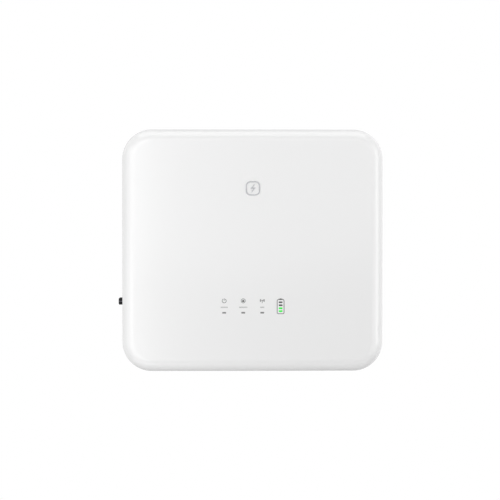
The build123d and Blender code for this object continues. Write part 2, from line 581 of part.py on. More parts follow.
with BuildPart() as isolator_knob:
    add(knob_form.part)
    with BuildSketch(leftward(KNOB_REAR)):
        Rectangle(SHAFT_SQUARE, SHAFT_SQUARE)
    extrude(amount=SHAFT_TIP + 2 * SQUARE_PLAY, mode=Mode.SUBTRACT)
    add(pointer_space.part, mode=Mode.SUBTRACT)
finish(isolator_knob, "isolator_knob")

with BuildPart() as knob_pointer:
    add(knob_form.part)
    add(pointer_space.part, mode=Mode.INTERSECT)
finish(knob_pointer, "knob_pointer")

# --------------------------------------------------------------------------------------------------
# Battery pack: eight cells in a row between end plates, held by two bands, on a shelf
# --------------------------------------------------------------------------------------------------
for index, cell_x in enumerate(CELL_XS, start=1):
    with BuildPart() as cell:
        with BuildSketch(facing(CELL_BACK)):
            with Locations((cell_x, CELL_MID)):
                Rectangle(CELL_T, CELL_W)
        extrude(amount=CELL_H)
        fillet(cell.edges().filter_by(Axis.Y), CELL_EDGE_R)
        with BuildSketch(facing(CELL_FRONT)):
            with Locations((cell_x, CELL_MID - TERMINAL_OFF), (cell_x, CELL_MID + TERMINAL_OFF)):
                Rectangle(TERMINAL_SIZE, TERMINAL_SIZE)
        extrude(amount=TERMINAL_T)
        with BuildSketch(facing(CELL_FRONT)):
            with Locations((cell_x, CELL_MID)):
                SlotOverall(VENT_L, VENT_W)
        extrude(amount=-VENT_DEPTH, mode=Mode.SUBTRACT)
    finish(cell, f"cell_{index}")

with BuildPart() as cell_insulators:
    with BuildSketch(facing(CELL_BACK)):
        with Locations((0, CELL_MID)):
            with GridLocations(CELL_PITCH, 0, CELLS - 1, 1):
                Rectangle(SHEET_T, CELL_W - 2 * SHEET_MARGIN)
    extrude(amount=CELL_H)
finish(cell_insulators, "cell_insulators")

with BuildPart() as pack_end_plates:
    with BuildSketch(facing(CELL_BACK)):
        with Locations(*[(side * END_PLATE_X, CELL_FLOOR + END_PLATE_H / 2) for side in (-1, 1)]):
            Rectangle(END_PLATE_T, END_PLATE_H)
    extrude(amount=CELL_H)
    with BuildSketch(facing(CELL_FRONT)):
        with Locations(*LUGS):
            Rectangle(END_PLATE_T, LUG_H)
    extrude(amount=CELL_FRONT - MONITOR_Y)
    with BuildSketch(facing(MONITOR_Y)):
        with Locations(*LUGS):
            Circle(M3_R + SCREW_CLEARANCE)
    extrude(amount=-LUG_PILOT, mode=Mode.SUBTRACT)
    with BuildSketch(below(CELL_FLOOR)):
        with Locations(*END_PLATE_SCREWS):
            Circle(M4_R + SCREW_CLEARANCE)
    extrude(amount=-PLATE_PILOT, mode=Mode.SUBTRACT)
finish(pack_end_plates, "pack_end_plates")

with BuildPart() as pack_bands:
    for height in (CELL_FLOOR + BAND_EDGE, CELL_FLOOR + END_PLATE_H - BAND_EDGE):
        with BuildSketch(below(height - BAND_W / 2)):
            with Locations((0, -(CELL_BACK + CELL_FRONT) / 2)):
                Rectangle(2 * (PACK_HALF + END_PLATE_T + BAND_T), CELL_H + 2 * BAND_T)
                Rectangle(2 * (PACK_HALF + END_PLATE_T), CELL_H, mode=Mode.SUBTRACT)
        extrude(amount=-BAND_W)
finish(pack_bands, "pack_bands")

LINK_W = CELL_PITCH + TERMINAL_SIZE - 2 * LINK_MARGIN
LINK_H = TERMINAL_SIZE - 2 * LINK_MARGIN
LINK_ROWS = [CELL_MID + TERMINAL_OFF if i % 2 == 0 else CELL_MID - TERMINAL_OFF for i in range(CELLS - 1)]
with BuildPart() as cell_busbars:
    with BuildSketch(facing(CELL_FRONT - TERMINAL_T)):
        with Locations(*[(x + CELL_PITCH / 2, z) for x, z in zip(CELL_XS, LINK_ROWS)]):
            RectangleRounded(LINK_W, LINK_H, LINK_R)
        with Locations(*[(x, CELL_MID - TERMINAL_OFF) for x in (CELL_XS[0], CELL_XS[-1])]):
            RectangleRounded(LINK_H, LINK_H + LEAD_TAB, LINK_R)
    extrude(amount=LINK_T)
finish(cell_busbars, "cell_busbars")

with BuildPart() as cell_monitor_board:
    with BuildSketch(facing(MONITOR_Y)):
        with Locations((0, CELL_MID)):
            RectangleRounded(2 * (END_PLATE_X + MONITOR_MARGIN), MONITOR_H, BOARD_CORNER_R)
        with Locations(*LUGS):
            Circle(M3_R + SCREW_CLEARANCE, mode=Mode.SUBTRACT)
    extrude(amount=BOARD_T)
finish(cell_monitor_board, "cell_monitor_board")

with BuildPart() as pack_shelf:
    with BuildSketch(facing(BACK_INNER)):
        with Locations((0, CELL_FLOOR - SHELF_T / 2)):
            Rectangle(SHELF_W, SHELF_T)
    extrude(amount=BACK_INNER - CELL_FRONT + SHELF_LIP)
    with BuildSketch(facing(BACK_INNER)):
        with Locations((0, CELL_FLOOR + SHELF_FLANGE_H / 2)):
            Rectangle(SHELF_FLANGE_W, SHELF_FLANGE_H)
        with Locations(*SHELF_SCREWS):
            Circle(M4_R + SCREW_CLEARANCE, mode=Mode.SUBTRACT)
    extrude(amount=SHELF_T)
    with BuildSketch(below(CELL_FLOOR)):
        with Locations(*END_PLATE_SCREWS):
            Circle(M4_R + SCREW_CLEARANCE)
    extrude(amount=SHELF_T, mode=Mode.SUBTRACT)
finish(pack_shelf, "pack_shelf")

# --------------------------------------------------------------------------------------------------
# Power electronics on the housing's back, below the pack
# --------------------------------------------------------------------------------------------------
BOARD_FRONT = BOARD_Y - BOARD_T
with BuildPart() as inverter_board:
    with BuildSketch(facing(BOARD_Y)):
        with Locations((BOARD_X, BOARD_Z)):
            RectangleRounded(BOARD_W, BOARD_H, BOARD_R)
        with Locations(*PILLARS):
            Circle(M3_R + SCREW_CLEARANCE, mode=Mode.SUBTRACT)
    extrude(amount=BOARD_T)
finish(inverter_board, "inverter_board")

with BuildPart() as power_modules:
    with BuildSketch(facing(BACK_INNER)):
        with Locations((WINDOW_BACK_X, MODULE_Z)):
            with GridLocations(MODULE_PITCH, 0, 4, 1):
                RectangleRounded(MODULE_W, MODULE_H, MODULE_R)
    extrude(amount=BACK_INNER - BOARD_Y)
finish(power_modules, "power_modules")

with BuildPart() as dc_link_capacitors:
    with BuildSketch(facing(BOARD_FRONT)):
        with Locations((CAPACITOR_X, CAPACITOR_Z)):
            with GridLocations(CAPACITOR_PITCH, CAPACITOR_PITCH, 4, 2):
                Circle(CAPACITOR_R)
    extrude(amount=CAPACITOR_H)
    fillet(dc_link_capacitors.edges().group_by(Axis.Y)[0], CAPACITOR_EDGE_R)
finish(dc_link_capacitors, "dc_link_capacitors")

with BuildPart() as filter_chokes:
    with BuildSketch(facing(BOARD_FRONT)):
        with Locations((-110, CHOKE_Z), (-35, CHOKE_Z)):
            Circle(CHOKE_R)
            Circle(CHOKE_HOLE_R, mode=Mode.SUBTRACT)
    extrude(amount=CHOKE_T)
    fillet(filter_chokes.edges().filter_by(GeomType.CIRCLE).group_by(Axis.Y)[0], CHOKE_EDGE_R)
finish(filter_chokes, "filter_chokes")

with BuildPart() as main_relay:
    with BuildSketch(facing(BOARD_FRONT)):
        with Locations((RELAY_X, RELAY_Z)):
            RectangleRounded(RELAY_W, RELAY_W, RELAY_R)
    extrude(amount=RELAY_DEPTH)
    with BuildSketch(facing(BOARD_FRONT - RELAY_DEPTH)):
        with Locations((RELAY_X, RELAY_Z - POST_OFF), (RELAY_X, RELAY_Z + POST_OFF)):
            Circle(POST_R)
    extrude(amount=POST_L)
finish(main_relay, "main_relay")

BLADE_REAR = BOARD_FRONT - RELAY_DEPTH
with BuildPart() as main_fuse:
    with BuildSketch(facing(BLADE_REAR)):
        with Locations((RELAY_X, FUSE_Z)):
            SlotOverall(BLADE_LENGTH, BLADE_WIDTH, rotation=90)
        with Locations((RELAY_X, RELAY_Z + POST_OFF)):
            Circle(BLADE_HOLE_R, mode=Mode.SUBTRACT)
    extrude(amount=BLADE_T)
    with BuildSketch(below(FUSE_Z)):
        with Locations((RELAY_X, BLADE_T / 2 - BLADE_REAR)):
            Circle(FUSE_R)
    extrude(amount=FUSE_L / 2, both=True)
finish(main_fuse, "main_fuse")

with BuildPart() as ac_terminal_block:
    with BuildSketch(facing(BOARD_FRONT)):
        with Locations((BLOCK_X, BLOCK_Z)):
            Rectangle(BLOCK_W, BLOCK_H)
    extrude(amount=BLOCK_DEPTH)
    with BuildSketch(below(BLOCK_Z - BLOCK_H / 2)):
        with Locations((BLOCK_X, WAY_Y - BOARD_FRONT)):
            with GridLocations(WAY_PITCH, 0, WAYS, 1):
                Circle(WAY_R)
    extrude(amount=-WAY_DEPTH, mode=Mode.SUBTRACT)
    with BuildSketch(facing(BOARD_FRONT - BLOCK_DEPTH)):
        with Locations((BLOCK_X, BLOCK_Z)):
            with GridLocations(WAY_PITCH, 0, WAYS, 1):
                Circle(CLAMP_R)
    extrude(amount=-CLAMP_DEPTH, mode=Mode.SUBTRACT)
finish(ac_terminal_block, "ac_terminal_block")

# --------------------------------------------------------------------------------------------------
# Cables inside the casing: from the pack's two ends to the isolator and to the fuse
# --------------------------------------------------------------------------------------------------
CABLE_R, CABLE_BEND = 4.5, 26
LEAD_Y = CELL_FRONT - TERMINAL_T - LINK_T - CABLE_R
LEAD_TOP = CELL_MID - TERMINAL_OFF + 8
SWITCH_LEAD_X = SWITCH_FRONT + DECKS[0] + CONTACT_W / 2
FUSE_LEAD_Z = FUSE_Z + 25
DROP_TOP, DROP_FOOT = 2, -14


def inner_cable(points, label):
    """A cable through those (x, y, height) points, with each corner rounded."""
    with BuildPart() as cable:
        with BuildLine() as route:
            FilletPolyline(*[(x, y, CENTRE_Z + z) for x, y, z in points], radius=CABLE_BEND)
        with BuildSketch(Plane(origin=route.line @ 0, z_dir=route.line % 0)):
            Circle(CABLE_R)
        sweep()
    finish(cable, label)


inner_cable(
    [
        (CELL_XS[0], LEAD_Y, LEAD_TOP), (CELL_XS[0], LEAD_Y, DROP_TOP),
        (SWITCH_LEAD_X, ISOLATOR_Y, DROP_FOOT), (SWITCH_LEAD_X, ISOLATOR_Y, ISOLATOR_Z + CONTACT_OUT),
    ],
    "negative_cable",
)
inner_cable(
    [
        (RELAY_X, LEAD_Y, LEAD_TOP), (RELAY_X, LEAD_Y, FUSE_LEAD_Z),
        (RELAY_X, BLADE_REAR - BLADE_T, FUSE_LEAD_Z),
    ],
    "positive_cable",
)

# --------------------------------------------------------------------------------------------------
# Connections under the housing
# --------------------------------------------------------------------------------------------------
SOCKET_FOOT = HOUSING_FLOOR - DC_FLANGE_T - DC_BARREL_L


def dc_connector(x, label):
    """A panel socket: flange and barrel below the floor, threaded neck through it, and a nut inside."""
    with BuildPart() as connector:
        with BuildSketch(below(FLOOR_TOP + DC_NECK_UP)):
            with Locations((x, -UNDER_Y)):
                Circle(DC_NECK_R)
        extrude(amount=DC_NECK_UP + HOUSING_WALL)
        with BuildSketch(below(HOUSING_FLOOR)):
            with Locations((x, -UNDER_Y)):
                RegularPolygon(DC_FLANGE_R, 6)
        extrude(amount=DC_FLANGE_T)
        with BuildSketch(below(HOUSING_FLOOR - DC_FLANGE_T)):
            with Locations((x, -UNDER_Y)):
                Circle(DC_BARREL_R)
        extrude(amount=DC_BARREL_L)
        fillet(connector.edges().group_by(Axis.Z)[0], DC_EDGE_R)
        with BuildSketch(below(SOCKET_FOOT + SOCKET_DEPTH)):
            with Locations((x, -UNDER_Y)):
                Circle(SOCKET_R)
        extrude(amount=SOCKET_DEPTH, mode=Mode.SUBTRACT)
    finish(connector, label)


dc_connector(NEGATIVE_X, "dc_connector_negative")
dc_connector(POSITIVE_X, "dc_connector_positive")

with BuildPart() as cable_glands:
    for gland_x, bore_r, gland_neck_r in GLANDS:
        with BuildSketch(below(FLOOR_TOP + NECK_UP)):
            with Locations((gland_x, -UNDER_Y)):
                Circle(gland_neck_r)
        extrude(amount=NECK_UP + HOUSING_WALL)
        with BuildSketch(below(HOUSING_FLOOR)):
            with Locations((gland_x, -UNDER_Y)):
                RegularPolygon(gland_neck_r + GLAND_NUT_RIM, 6)
        extrude(amount=GLAND_NUT_T)
        with BuildSketch(below(HOUSING_FLOOR - GLAND_NUT_T)):
            with Locations((gland_x, -UNDER_Y)):
                RegularPolygon(gland_neck_r + GLAND_CAP_RIM, 8)
        extrude(amount=GLAND_CAP_T)
        with BuildSketch(below(HOUSING_FLOOR - GLAND_NUT_T - GLAND_CAP_T)):
            with Locations((gland_x, -UNDER_Y)):
                Circle(gland_neck_r + GLAND_DOME_RIM)
        extrude(amount=GLAND_DOME_T, taper=GLAND_TAPER)
        with BuildSketch(below(FLOOR_TOP + NECK_UP)):
            with Locations((gland_x, -UNDER_Y)):
                Circle(bore_r)
        extrude(amount=GLAND_LENGTH, mode=Mode.SUBTRACT)
finish(cable_glands, "cable_glands")

with BuildPart() as locknuts:
    for nut_x, nut_hole_r in NECKS:
        with BuildSketch(below(FLOOR_TOP + LOCKNUT_T)):
            with Locations((nut_x, -UNDER_Y)):
                RegularPolygon(nut_hole_r + LOCKNUT_RIM, 6)
                Circle(nut_hole_r + SCREW_CLEARANCE, mode=Mode.SUBTRACT)
        extrude(amount=LOCKNUT_T)
finish(locknuts, "locknuts")

with BuildPart() as breather_valve:
    with BuildSketch(below(FLOOR_TOP + BREATHER_UP)):
        with Locations((BREATHER_X, -UNDER_Y)):
            Circle(BREATHER_NECK_R)
    extrude(amount=BREATHER_UP + HOUSING_WALL)
    with BuildSketch(below(HOUSING_FLOOR)):
        with Locations((BREATHER_X, -UNDER_Y)):
            RegularPolygon(BREATHER_R, 12)
    extrude(amount=BREATHER_T)
    fillet(breather_valve.faces().sort_by(Axis.Z)[0].edges(), TURNED_CHAMFER)
finish(breather_valve, "breather_valve")

with BuildPart() as earth_stud:
    for nut_top in (FLOOR_TOP + EARTH_NUT_T, HOUSING_FLOOR):
        with BuildSketch(below(nut_top)):
            with Locations((EARTH_X, -UNDER_Y)):
                RegularPolygon(EARTH_NUT_R, 6)
        extrude(amount=EARTH_NUT_T)
    with BuildSketch(below(FLOOR_TOP + EARTH_NUT_T)):
        with Locations((EARTH_X, -UNDER_Y)):
            Circle(EARTH_R)
    extrude(amount=EARTH_L)
finish(earth_stud, "earth_stud")

# --------------------------------------------------------------------------------------------------
# Start button and its spring, in the sealed switch
# --------------------------------------------------------------------------------------------------
SWITCH_LIP = HOUSING_FLOOR - LIP_T
LEDGE = HOUSING_FLOOR + LEDGE_T
CAVITY_TOP = LEDGE + CAVITY_H
with BuildPart() as start_switch:
    with BuildSketch(below(CAVITY_TOP + SWITCH_CAP_T)):
        with Locations((BUTTON_X, -UNDER_Y)):
            Circle(SWITCH_NECK_R)
    extrude(amount=CAVITY_TOP + SWITCH_CAP_T - HOUSING_FLOOR)
    with BuildSketch(below(HOUSING_FLOOR)):
        with Locations((BUTTON_X, -UNDER_Y)):
            Circle(LIP_R)
    extrude(amount=LIP_T)
    chamfer(start_switch.edges().group_by(Axis.Z)[0], TURNED_CHAMFER)
    with BuildSketch(below(CAVITY_TOP)):
        with Locations((BUTTON_X, -UNDER_Y)):
            Circle(BUTTON_R + RUNNING)
    extrude(amount=CAVITY_TOP - SWITCH_LIP, mode=Mode.SUBTRACT)
    with BuildSketch(below(CAVITY_TOP)):
        with Locations((BUTTON_X, -UNDER_Y)):
            Circle(CAVITY_R)
    extrude(amount=CAVITY_H, mode=Mode.SUBTRACT)
finish(start_switch, "start_switch")

with BuildPart() as start_button:
    with BuildSketch(below(LEDGE)):
        with Locations((BUTTON_X, -UNDER_Y)):
            Circle(BUTTON_R)
    extrude(amount=LEDGE - SWITCH_LIP + BUTTON_OUT)
    fillet(start_button.edges().group_by(Axis.Z)[0], TURNED_CHAMFER)
    with BuildSketch(below(LEDGE)):
        with Locations((BUTTON_X, -UNDER_Y)):
            Circle(COLLAR_R)
    extrude(amount=-COLLAR_T)
    with BuildSketch(below(LEDGE + COLLAR_T)):
        with Locations((BUTTON_X, -UNDER_Y)):
            Circle(TAIL_R)
    extrude(amount=-TAIL_L)
finish(start_button, "start_button")

SPRING_FOOT = LEDGE + COLLAR_T + SPRING_WIRE + SPRING_GAP
SPRING_HEAD = CAVITY_TOP - SPRING_WIRE - SPRING_GAP
with BuildPart() as button_spring:
    with BuildLine() as coil:
        Helix(
            pitch=(SPRING_HEAD - SPRING_FOOT) / SPRING_TURNS, height=SPRING_HEAD - SPRING_FOOT,
            radius=SPRING_R, center=(BUTTON_X, UNDER_Y, CENTRE_Z + SPRING_FOOT),
        )
    with BuildSketch(Plane(origin=coil.line @ 0, z_dir=coil.line % 0)):
        Circle(SPRING_WIRE)
    sweep(is_frenet=True)
finish(button_spring, "button_spring")

# --------------------------------------------------------------------------------------------------
# Fasteners, one node for each size
# --------------------------------------------------------------------------------------------------


def screws(plane, places, radius, length, head_radius, head_height):
    """Socket-head screws at those places of the plane, their shanks along its normal."""
    with BuildPart() as group:
        with BuildSketch(plane):
            with Locations(*places):
                Circle(radius)
        extrude(amount=length)
        with BuildSketch(plane):
            with Locations(*places):
                Circle(head_radius)
        extrude(amount=-head_height)
        with BuildSketch(plane.offset(-head_height)):
            with Locations(*places):
                RegularPolygon(radius * KEY_SIZE, 6)
        extrude(amount=head_height * KEY_DEPTH, mode=Mode.SUBTRACT)
    return group.part


M4 = {"radius": M4_R, "head_radius": M4_HEAD_R, "head_height": M4_HEAD_T}
M3 = {"radius": M3_R, "head_radius": M3_HEAD_R, "head_height": M3_HEAD_T}
rail_plane = Plane(origin=(0, RAIL_BACK, 0), x_dir=(1, 0, 0), z_dir=(0, -1, 0))
into_wall = Plane(origin=(0, BACK_INNER, CENTRE_Z), x_dir=(-1, 0, 0), z_dir=(0, 1, 0))
into_switch = Plane(
    origin=(BEZEL_FRONT, ISOLATOR_Y, CENTRE_Z + ISOLATOR_Z), x_dir=(0, -1, 0), z_dir=(1, 0, 0)
)
up_into_plates = Plane(origin=(0, 0, CENTRE_Z + CELL_FLOOR - SHELF_T), x_dir=(1, 0, 0), z_dir=(0, 0, 1))

with BuildPart() as m4_screws:
    add(screws(facing(FLANGE_REAR), COVER_SCREWS, length=COVER_SCREW_L, **M4))
    add(screws(rail_plane, RAIL_SCREWS, length=RAIL_SCREW_L, **M4))
    add(screws(into_wall, [(-x, z) for x, z in SINK_SCREWS], length=SINK_SCREW_L, **M4))
    add(screws(into_wall.offset(-SHELF_T), [(-x, z) for x, z in SHELF_SCREWS], length=SHELF_SCREW_L, **M4))
    add(screws(into_switch, BEZEL_SCREWS, length=BEZEL_SCREW_L, **M4))
    add(screws(up_into_plates, [(x, -y) for x, y in END_PLATE_SCREWS], length=PLATE_SCREW_L, **M4))
finish(m4_screws, "m4_screws")

board_back = Plane(origin=(0, BOARD_FRONT, CENTRE_Z), x_dir=(-1, 0, 0), z_dir=(0, 1, 0))
monitor_front = Plane(origin=(0, MONITOR_Y - BOARD_T, CENTRE_Z), x_dir=(-1, 0, 0), z_dir=(0, 1, 0))
with BuildPart() as m3_screws:
    add(screws(facing(LIGHT_BOARD_Y), LIGHT_BOARD_SCREWS, length=LIGHT_SCREW_L, **M3))
    add(screws(board_back, [(-x, z) for x, z in PILLARS], length=PILLAR_SCREW_L, **M3))
    add(screws(monitor_front, [(-x, z) for x, z in LUGS], length=LUG_SCREW_L, **M3))
finish(m3_screws, "m3_screws")
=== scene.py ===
import math

import bpy
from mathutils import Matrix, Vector
from mathutils.geometry import delaunay_2d_cdt


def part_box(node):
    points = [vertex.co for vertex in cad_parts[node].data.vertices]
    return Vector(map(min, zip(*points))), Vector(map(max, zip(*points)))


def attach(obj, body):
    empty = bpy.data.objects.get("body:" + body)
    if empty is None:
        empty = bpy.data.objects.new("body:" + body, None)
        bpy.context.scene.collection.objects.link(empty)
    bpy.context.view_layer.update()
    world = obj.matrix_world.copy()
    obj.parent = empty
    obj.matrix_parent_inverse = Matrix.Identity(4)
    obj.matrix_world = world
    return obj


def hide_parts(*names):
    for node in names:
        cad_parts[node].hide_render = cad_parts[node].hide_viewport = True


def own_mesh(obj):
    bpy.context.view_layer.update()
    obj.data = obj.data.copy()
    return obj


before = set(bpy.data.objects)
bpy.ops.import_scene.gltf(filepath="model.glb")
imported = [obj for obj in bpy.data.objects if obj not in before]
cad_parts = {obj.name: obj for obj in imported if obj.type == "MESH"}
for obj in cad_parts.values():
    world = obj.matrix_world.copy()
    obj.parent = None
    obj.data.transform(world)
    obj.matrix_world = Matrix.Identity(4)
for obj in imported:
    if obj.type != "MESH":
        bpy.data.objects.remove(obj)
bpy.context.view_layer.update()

# --------------------------------------------------------------------------------------------------
# Sizes, in metres, in the frame's axes: +X the viewer's right, -Y out of the wall, +Z up
# --------------------------------------------------------------------------------------------------
MM = 0.001
cover_low, cover_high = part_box("front_cover")
WIDTH = cover_high.x - cover_low.x
HEIGHT = cover_high.z - cover_low.z
CENTRE_Z = (cover_low.z + cover_high.z) / 2
REAR = cover_high.y
DEPTH = 221 * MM
CORNER_R, EDGE_R, CROWN, WALL = 56 * MM, 24 * MM, 5 * MM, 3 * MM
CROWN_R = (WIDTH / 2) ** 2 / (2 * CROWN)


def sag(x, z):
    """How far the front's dome falls back at that place, counted from its tip."""
    return (x * x + z * z) / (2 * CROWN_R)


def rounded(width, height, radius, arc_steps=6, side_steps=1, centre=(0, 0)):
    """A rounded rectangle as (x, z, outward x, outward z), anticlockwise seen from the front."""
    points = []
    for quarter, (sx, sz) in enumerate([(1, 1), (-1, 1), (-1, -1), (1, -1)]):
        cx, cz = sx * (width / 2 - radius), sz * (height / 2 - radius)
        for step in range(arc_steps + 1):
            angle = (quarter + step / arc_steps) * math.pi / 2
            nx, nz = math.cos(angle), math.sin(angle)
            points.append((cx + radius * nx, cz + radius * nz, nx, nz))
        nx, nz = math.cos((quarter + 1) * math.pi / 2), math.sin((quarter + 1) * math.pi / 2)
        length = (width if quarter % 2 == 0 else height) - 2 * radius
        start = points[-1]
        for step in range(1, side_steps):
            along = length * step / side_steps
            points.append((start[0] - nz * along, start[1] + nx * along, nx, nz))
    return [(x + centre[0], z + centre[1], nx, nz) for x, z, nx, nz in points]


def tiles(solids, holes=(), points=()):
    """Triangles filling the union of the solids less the holes. Each loop is a list of (x, z)."""
    coords, faces = [], []
    for loop in [*solids, *holes]:
        faces.append(list(range(len(coords), len(coords) + len(loop))))
        coords += [Vector(p[:2]) / MM for p in loop]
    coords += [Vector(p) / MM for p in points]
    verts, _, tris, sources, _, origins = delaunay_2d_cdt(coords, [], faces, 0, 1e-5, True)
    kept = [
        tuple(tri) for tri, ids in zip(tris, origins)
        if ids and all(i < len(solids) for i in ids)
    ]
    return [v * MM for v in verts], kept, [s[0] if s else None for s in sources]


class Shape:
    """Points and faces gathered into one mesh, with a normal of its own at each face's corners."""

    def __init__(self):
        self.points, self.faces, self.normals = [], [], []

    def point(self, place):
        self.points.append(place)
        return len(self.points) - 1

    def face(self, corners, normals):
        self.faces.append(corners)
        self.normals.extend(normals)

    def strip(self, first, second):
        """Quads between two closed rings of (index, normal)."""
        for i in range(len(first)):
            j = (i + 1) % len(first)
            corners = (first[i], first[j], second[j], second[i])
            self.face([c[0] for c in corners], [c[1] for c in corners])

    def piece(self, name, material, body="root"):
        mesh = bpy.data.meshes.new(name)
        mesh.from_pydata(self.points, [], self.faces)
        mesh.shade_smooth()
        mesh.normals_split_custom_set([n.normalized() for n in self.normals])
        mesh.materials.append(material)
        made = bpy.data.objects.new(name, mesh)
        bpy.context.scene.collection.objects.link(made)
        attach(made, body)
        return made


# --------------------------------------------------------------------------------------------------
# Materials
# --------------------------------------------------------------------------------------------------
class Finish:
    """A Principled material that is built up with noise in the object's own coordinates."""

    def __init__(self, name, colour, roughness, metallic=0.0, **sockets):
        self.material = bpy.data.materials.new(name)
        self.material.use_nodes = True
        self.tree = self.material.node_tree
        self.shader = self.tree.nodes["Principled BSDF"]
        self.colour = (*colour, 1)
        self.set("Base Color", self.colour)
        self.set("Roughness", roughness)
        self.set("Metallic", metallic)
        for socket, value in sockets.items():
            self.set(socket.replace("_", " "), value)
        self.coordinates = self.add("ShaderNodeTexCoord").outputs["Object"]

    def add(self, kind, **settings):
        node = self.tree.nodes.new(kind)
        for key, value in settings.items():
            setattr(node, key, value)
        return node

    def set(self, socket, value):
        self.shader.inputs[socket].default_value = value

    def link(self, output, socket):
        self.tree.links.new(output, socket)

    def texture(self, kind, size, stretch=(1, 1, 1)):
        """A texture whose blobs are about that size in metres, drawn out along each axis by stretch."""
        mapping = self.add("ShaderNodeMapping")
        mapping.inputs["Scale"].default_value = [1 / (size * s) for s in stretch]
        self.link(self.coordinates, mapping.inputs["Vector"])
        node = self.add(kind)
        node.inputs["Scale"].default_value = 1.0
        self.link(mapping.outputs[0], node.inputs["Vector"])
        return node

    def noise(self, size, stretch=(1, 1, 1), detail=3.0):
        node = self.texture("ShaderNodeTexNoise", size, stretch)
        node.inputs["Detail"].default_value = detail
        return node.outputs[0]

    def cells(self, size):
        return self.texture("ShaderNodeTexVoronoi", size).outputs["Color"]

    def spread(self, value, low, high, socket):
        """Drives a number on the shader from a texture, between low and high."""
        node = self.add("ShaderNodeMapRange")
        bounds = {"From Min": 0.3, "From Max": 0.7, "To Min": low, "To Max": high}
        for name, bound in bounds.items():
            node.inputs[name].default_value = bound
        self.link(value, node.inputs["Value"])
        self.link(node.outputs["Result"], self.shader.inputs[socket])

    def tint(self, value, other, low=0.35, high=0.65):
        """Mixes the base colour with another where the texture is high."""
        ramp = self.add("ShaderNodeValToRGB")
        ramp.color_ramp.elements[0].position = low
        ramp.color_ramp.elements[0].color = self.colour
        ramp.color_ramp.elements[1].position = high
        ramp.color_ramp.elements[1].color = (*other, 1)
        self.link(value, ramp.inputs["Fac"])
        self.link(ramp.outputs["Color"], self.shader.inputs["Base Color"])

    def bump(self, value, height, coat=False):
        """Raises the surface by up to that height in metres."""
        node = self.add("ShaderNodeBump")
        node.inputs["Distance"].default_value = height
        self.link(value, node.inputs["Height"])
        self.link(node.outputs["Normal"], self.shader.inputs["Normal"])
        if coat:
            self.link(node.outputs["Normal"], self.shader.inputs["Coat Normal"])


def gloss_white():
    finish = Finish(
        "gloss_white", (0.87, 0.87, 0.87), 0.30,
        Coat_Weight=1.0, Coat_Roughness=0.14, Coat_IOR=1.5,
    )
    finish.spread(finish.noise(60 * MM), 0.30, 0.31, "Roughness")
    finish.bump(finish.noise(3.5 * MM, detail=1.0), 0.002 * MM, coat=True)
    return finish.material


def powder_coat(name, colour):
    finish = Finish(name, colour, 0.5, Coat_Weight=0.15, Coat_Roughness=0.3)
    finish.tint(finish.noise(30 * MM), [c * 0.94 for c in colour])
    finish.spread(finish.noise(2 * MM), 0.42, 0.58, "Roughness")
    finish.bump(finish.noise(0.9 * MM, detail=2.0), 0.05 * MM)
    return finish.material


def extruded_alloy():
    finish = Finish("anodised_alloy", (0.56, 0.57, 0.59), 0.4, 1.0)
    lines = finish.noise(0.7 * MM, stretch=(1, 1, 60))
    finish.tint(lines, (0.48, 0.49, 0.51))
    finish.spread(finish.noise(18 * MM), 0.34, 0.48, "Roughness")
    finish.bump(lines, 0.02 * MM)
    return finish.material


def zinc_sheet():
    finish = Finish("zinc_sheet", (0.66, 0.67, 0.69), 0.38, 1.0)
    finish.tint(finish.cells(7 * MM), (0.56, 0.57, 0.60))
    finish.spread(finish.cells(5 * MM), 0.28, 0.46, "Roughness")
    finish.bump(finish.noise(1.5 * MM), 0.01 * MM)
    return finish.material


def turned_metal(name, colour, roughness):
    finish = Finish(name, colour, roughness, 1.0)
    finish.spread(finish.noise(1.2 * MM), roughness * 0.8, roughness * 1.25, "Roughness")
    finish.bump(finish.noise(0.4 * MM), 0.004 * MM)
    return finish.material


def moulded(name, colour, roughness=0.45, grain=0.5 * MM, relief=0.02 * MM, **sockets):
    finish = Finish(name, colour, roughness, **sockets)
    finish.tint(finish.noise(12 * MM), [min(1, c * 1.12 + 0.004) for c in colour])
    finish.spread(finish.noise(4 * MM), roughness * 0.85, roughness * 1.15, "Roughness")
    finish.bump(finish.noise(grain), relief)
    return finish.material


def lit(name, colour, glow):
    finish = Finish(
        name, [c * 0.1 for c in colour], 0.25, Specular_IOR_Level=0.02,
        Emission_Color=(*colour, 1), Emission_Strength=glow,
    )
    finish.spread(finish.noise(2 * MM), 0.2, 0.3, "Roughness")
    return finish.material


def circuit_board():
    finish = Finish("solder_mask", (0.02, 0.16, 0.08), 0.35, Coat_Weight=0.5, Coat_Roughness=0.15)
    tracks = finish.add("ShaderNodeTexBrick")
    tracks.inputs["Scale"].default_value = 1 / (7 * MM)
    tracks.inputs["Mortar Size"].default_value = 0.06
    tracks.inputs["Color1"].default_value = (0, 0, 0, 1)
    tracks.inputs["Color2"].default_value = (0.1, 0.1, 0.1, 1)
    tracks.inputs["Mortar"].default_value = (1, 1, 1, 1)
    turn = finish.add("ShaderNodeMapping")
    turn.inputs["Rotation"].default_value = (math.pi / 2, 0, 0)
    finish.link(finish.coordinates, turn.inputs["Vector"])
    finish.link(turn.outputs[0], tracks.inputs["Vector"])
    finish.tint(tracks.outputs["Color"], (0.05, 0.30, 0.15), 0.2, 0.6)
    finish.bump(tracks.outputs["Color"], 0.03 * MM)
    return finish.material


def film():
    finish = Finish("cell_film", (0.03, 0.16, 0.48), 0.28, Coat_Weight=0.6, Coat_Roughness=0.08)
    finish.tint(finish.noise(40 * MM), (0.04, 0.20, 0.55))
    finish.bump(finish.noise(9 * MM, stretch=(1, 1, 4)), 0.15 * MM)
    return finish.material


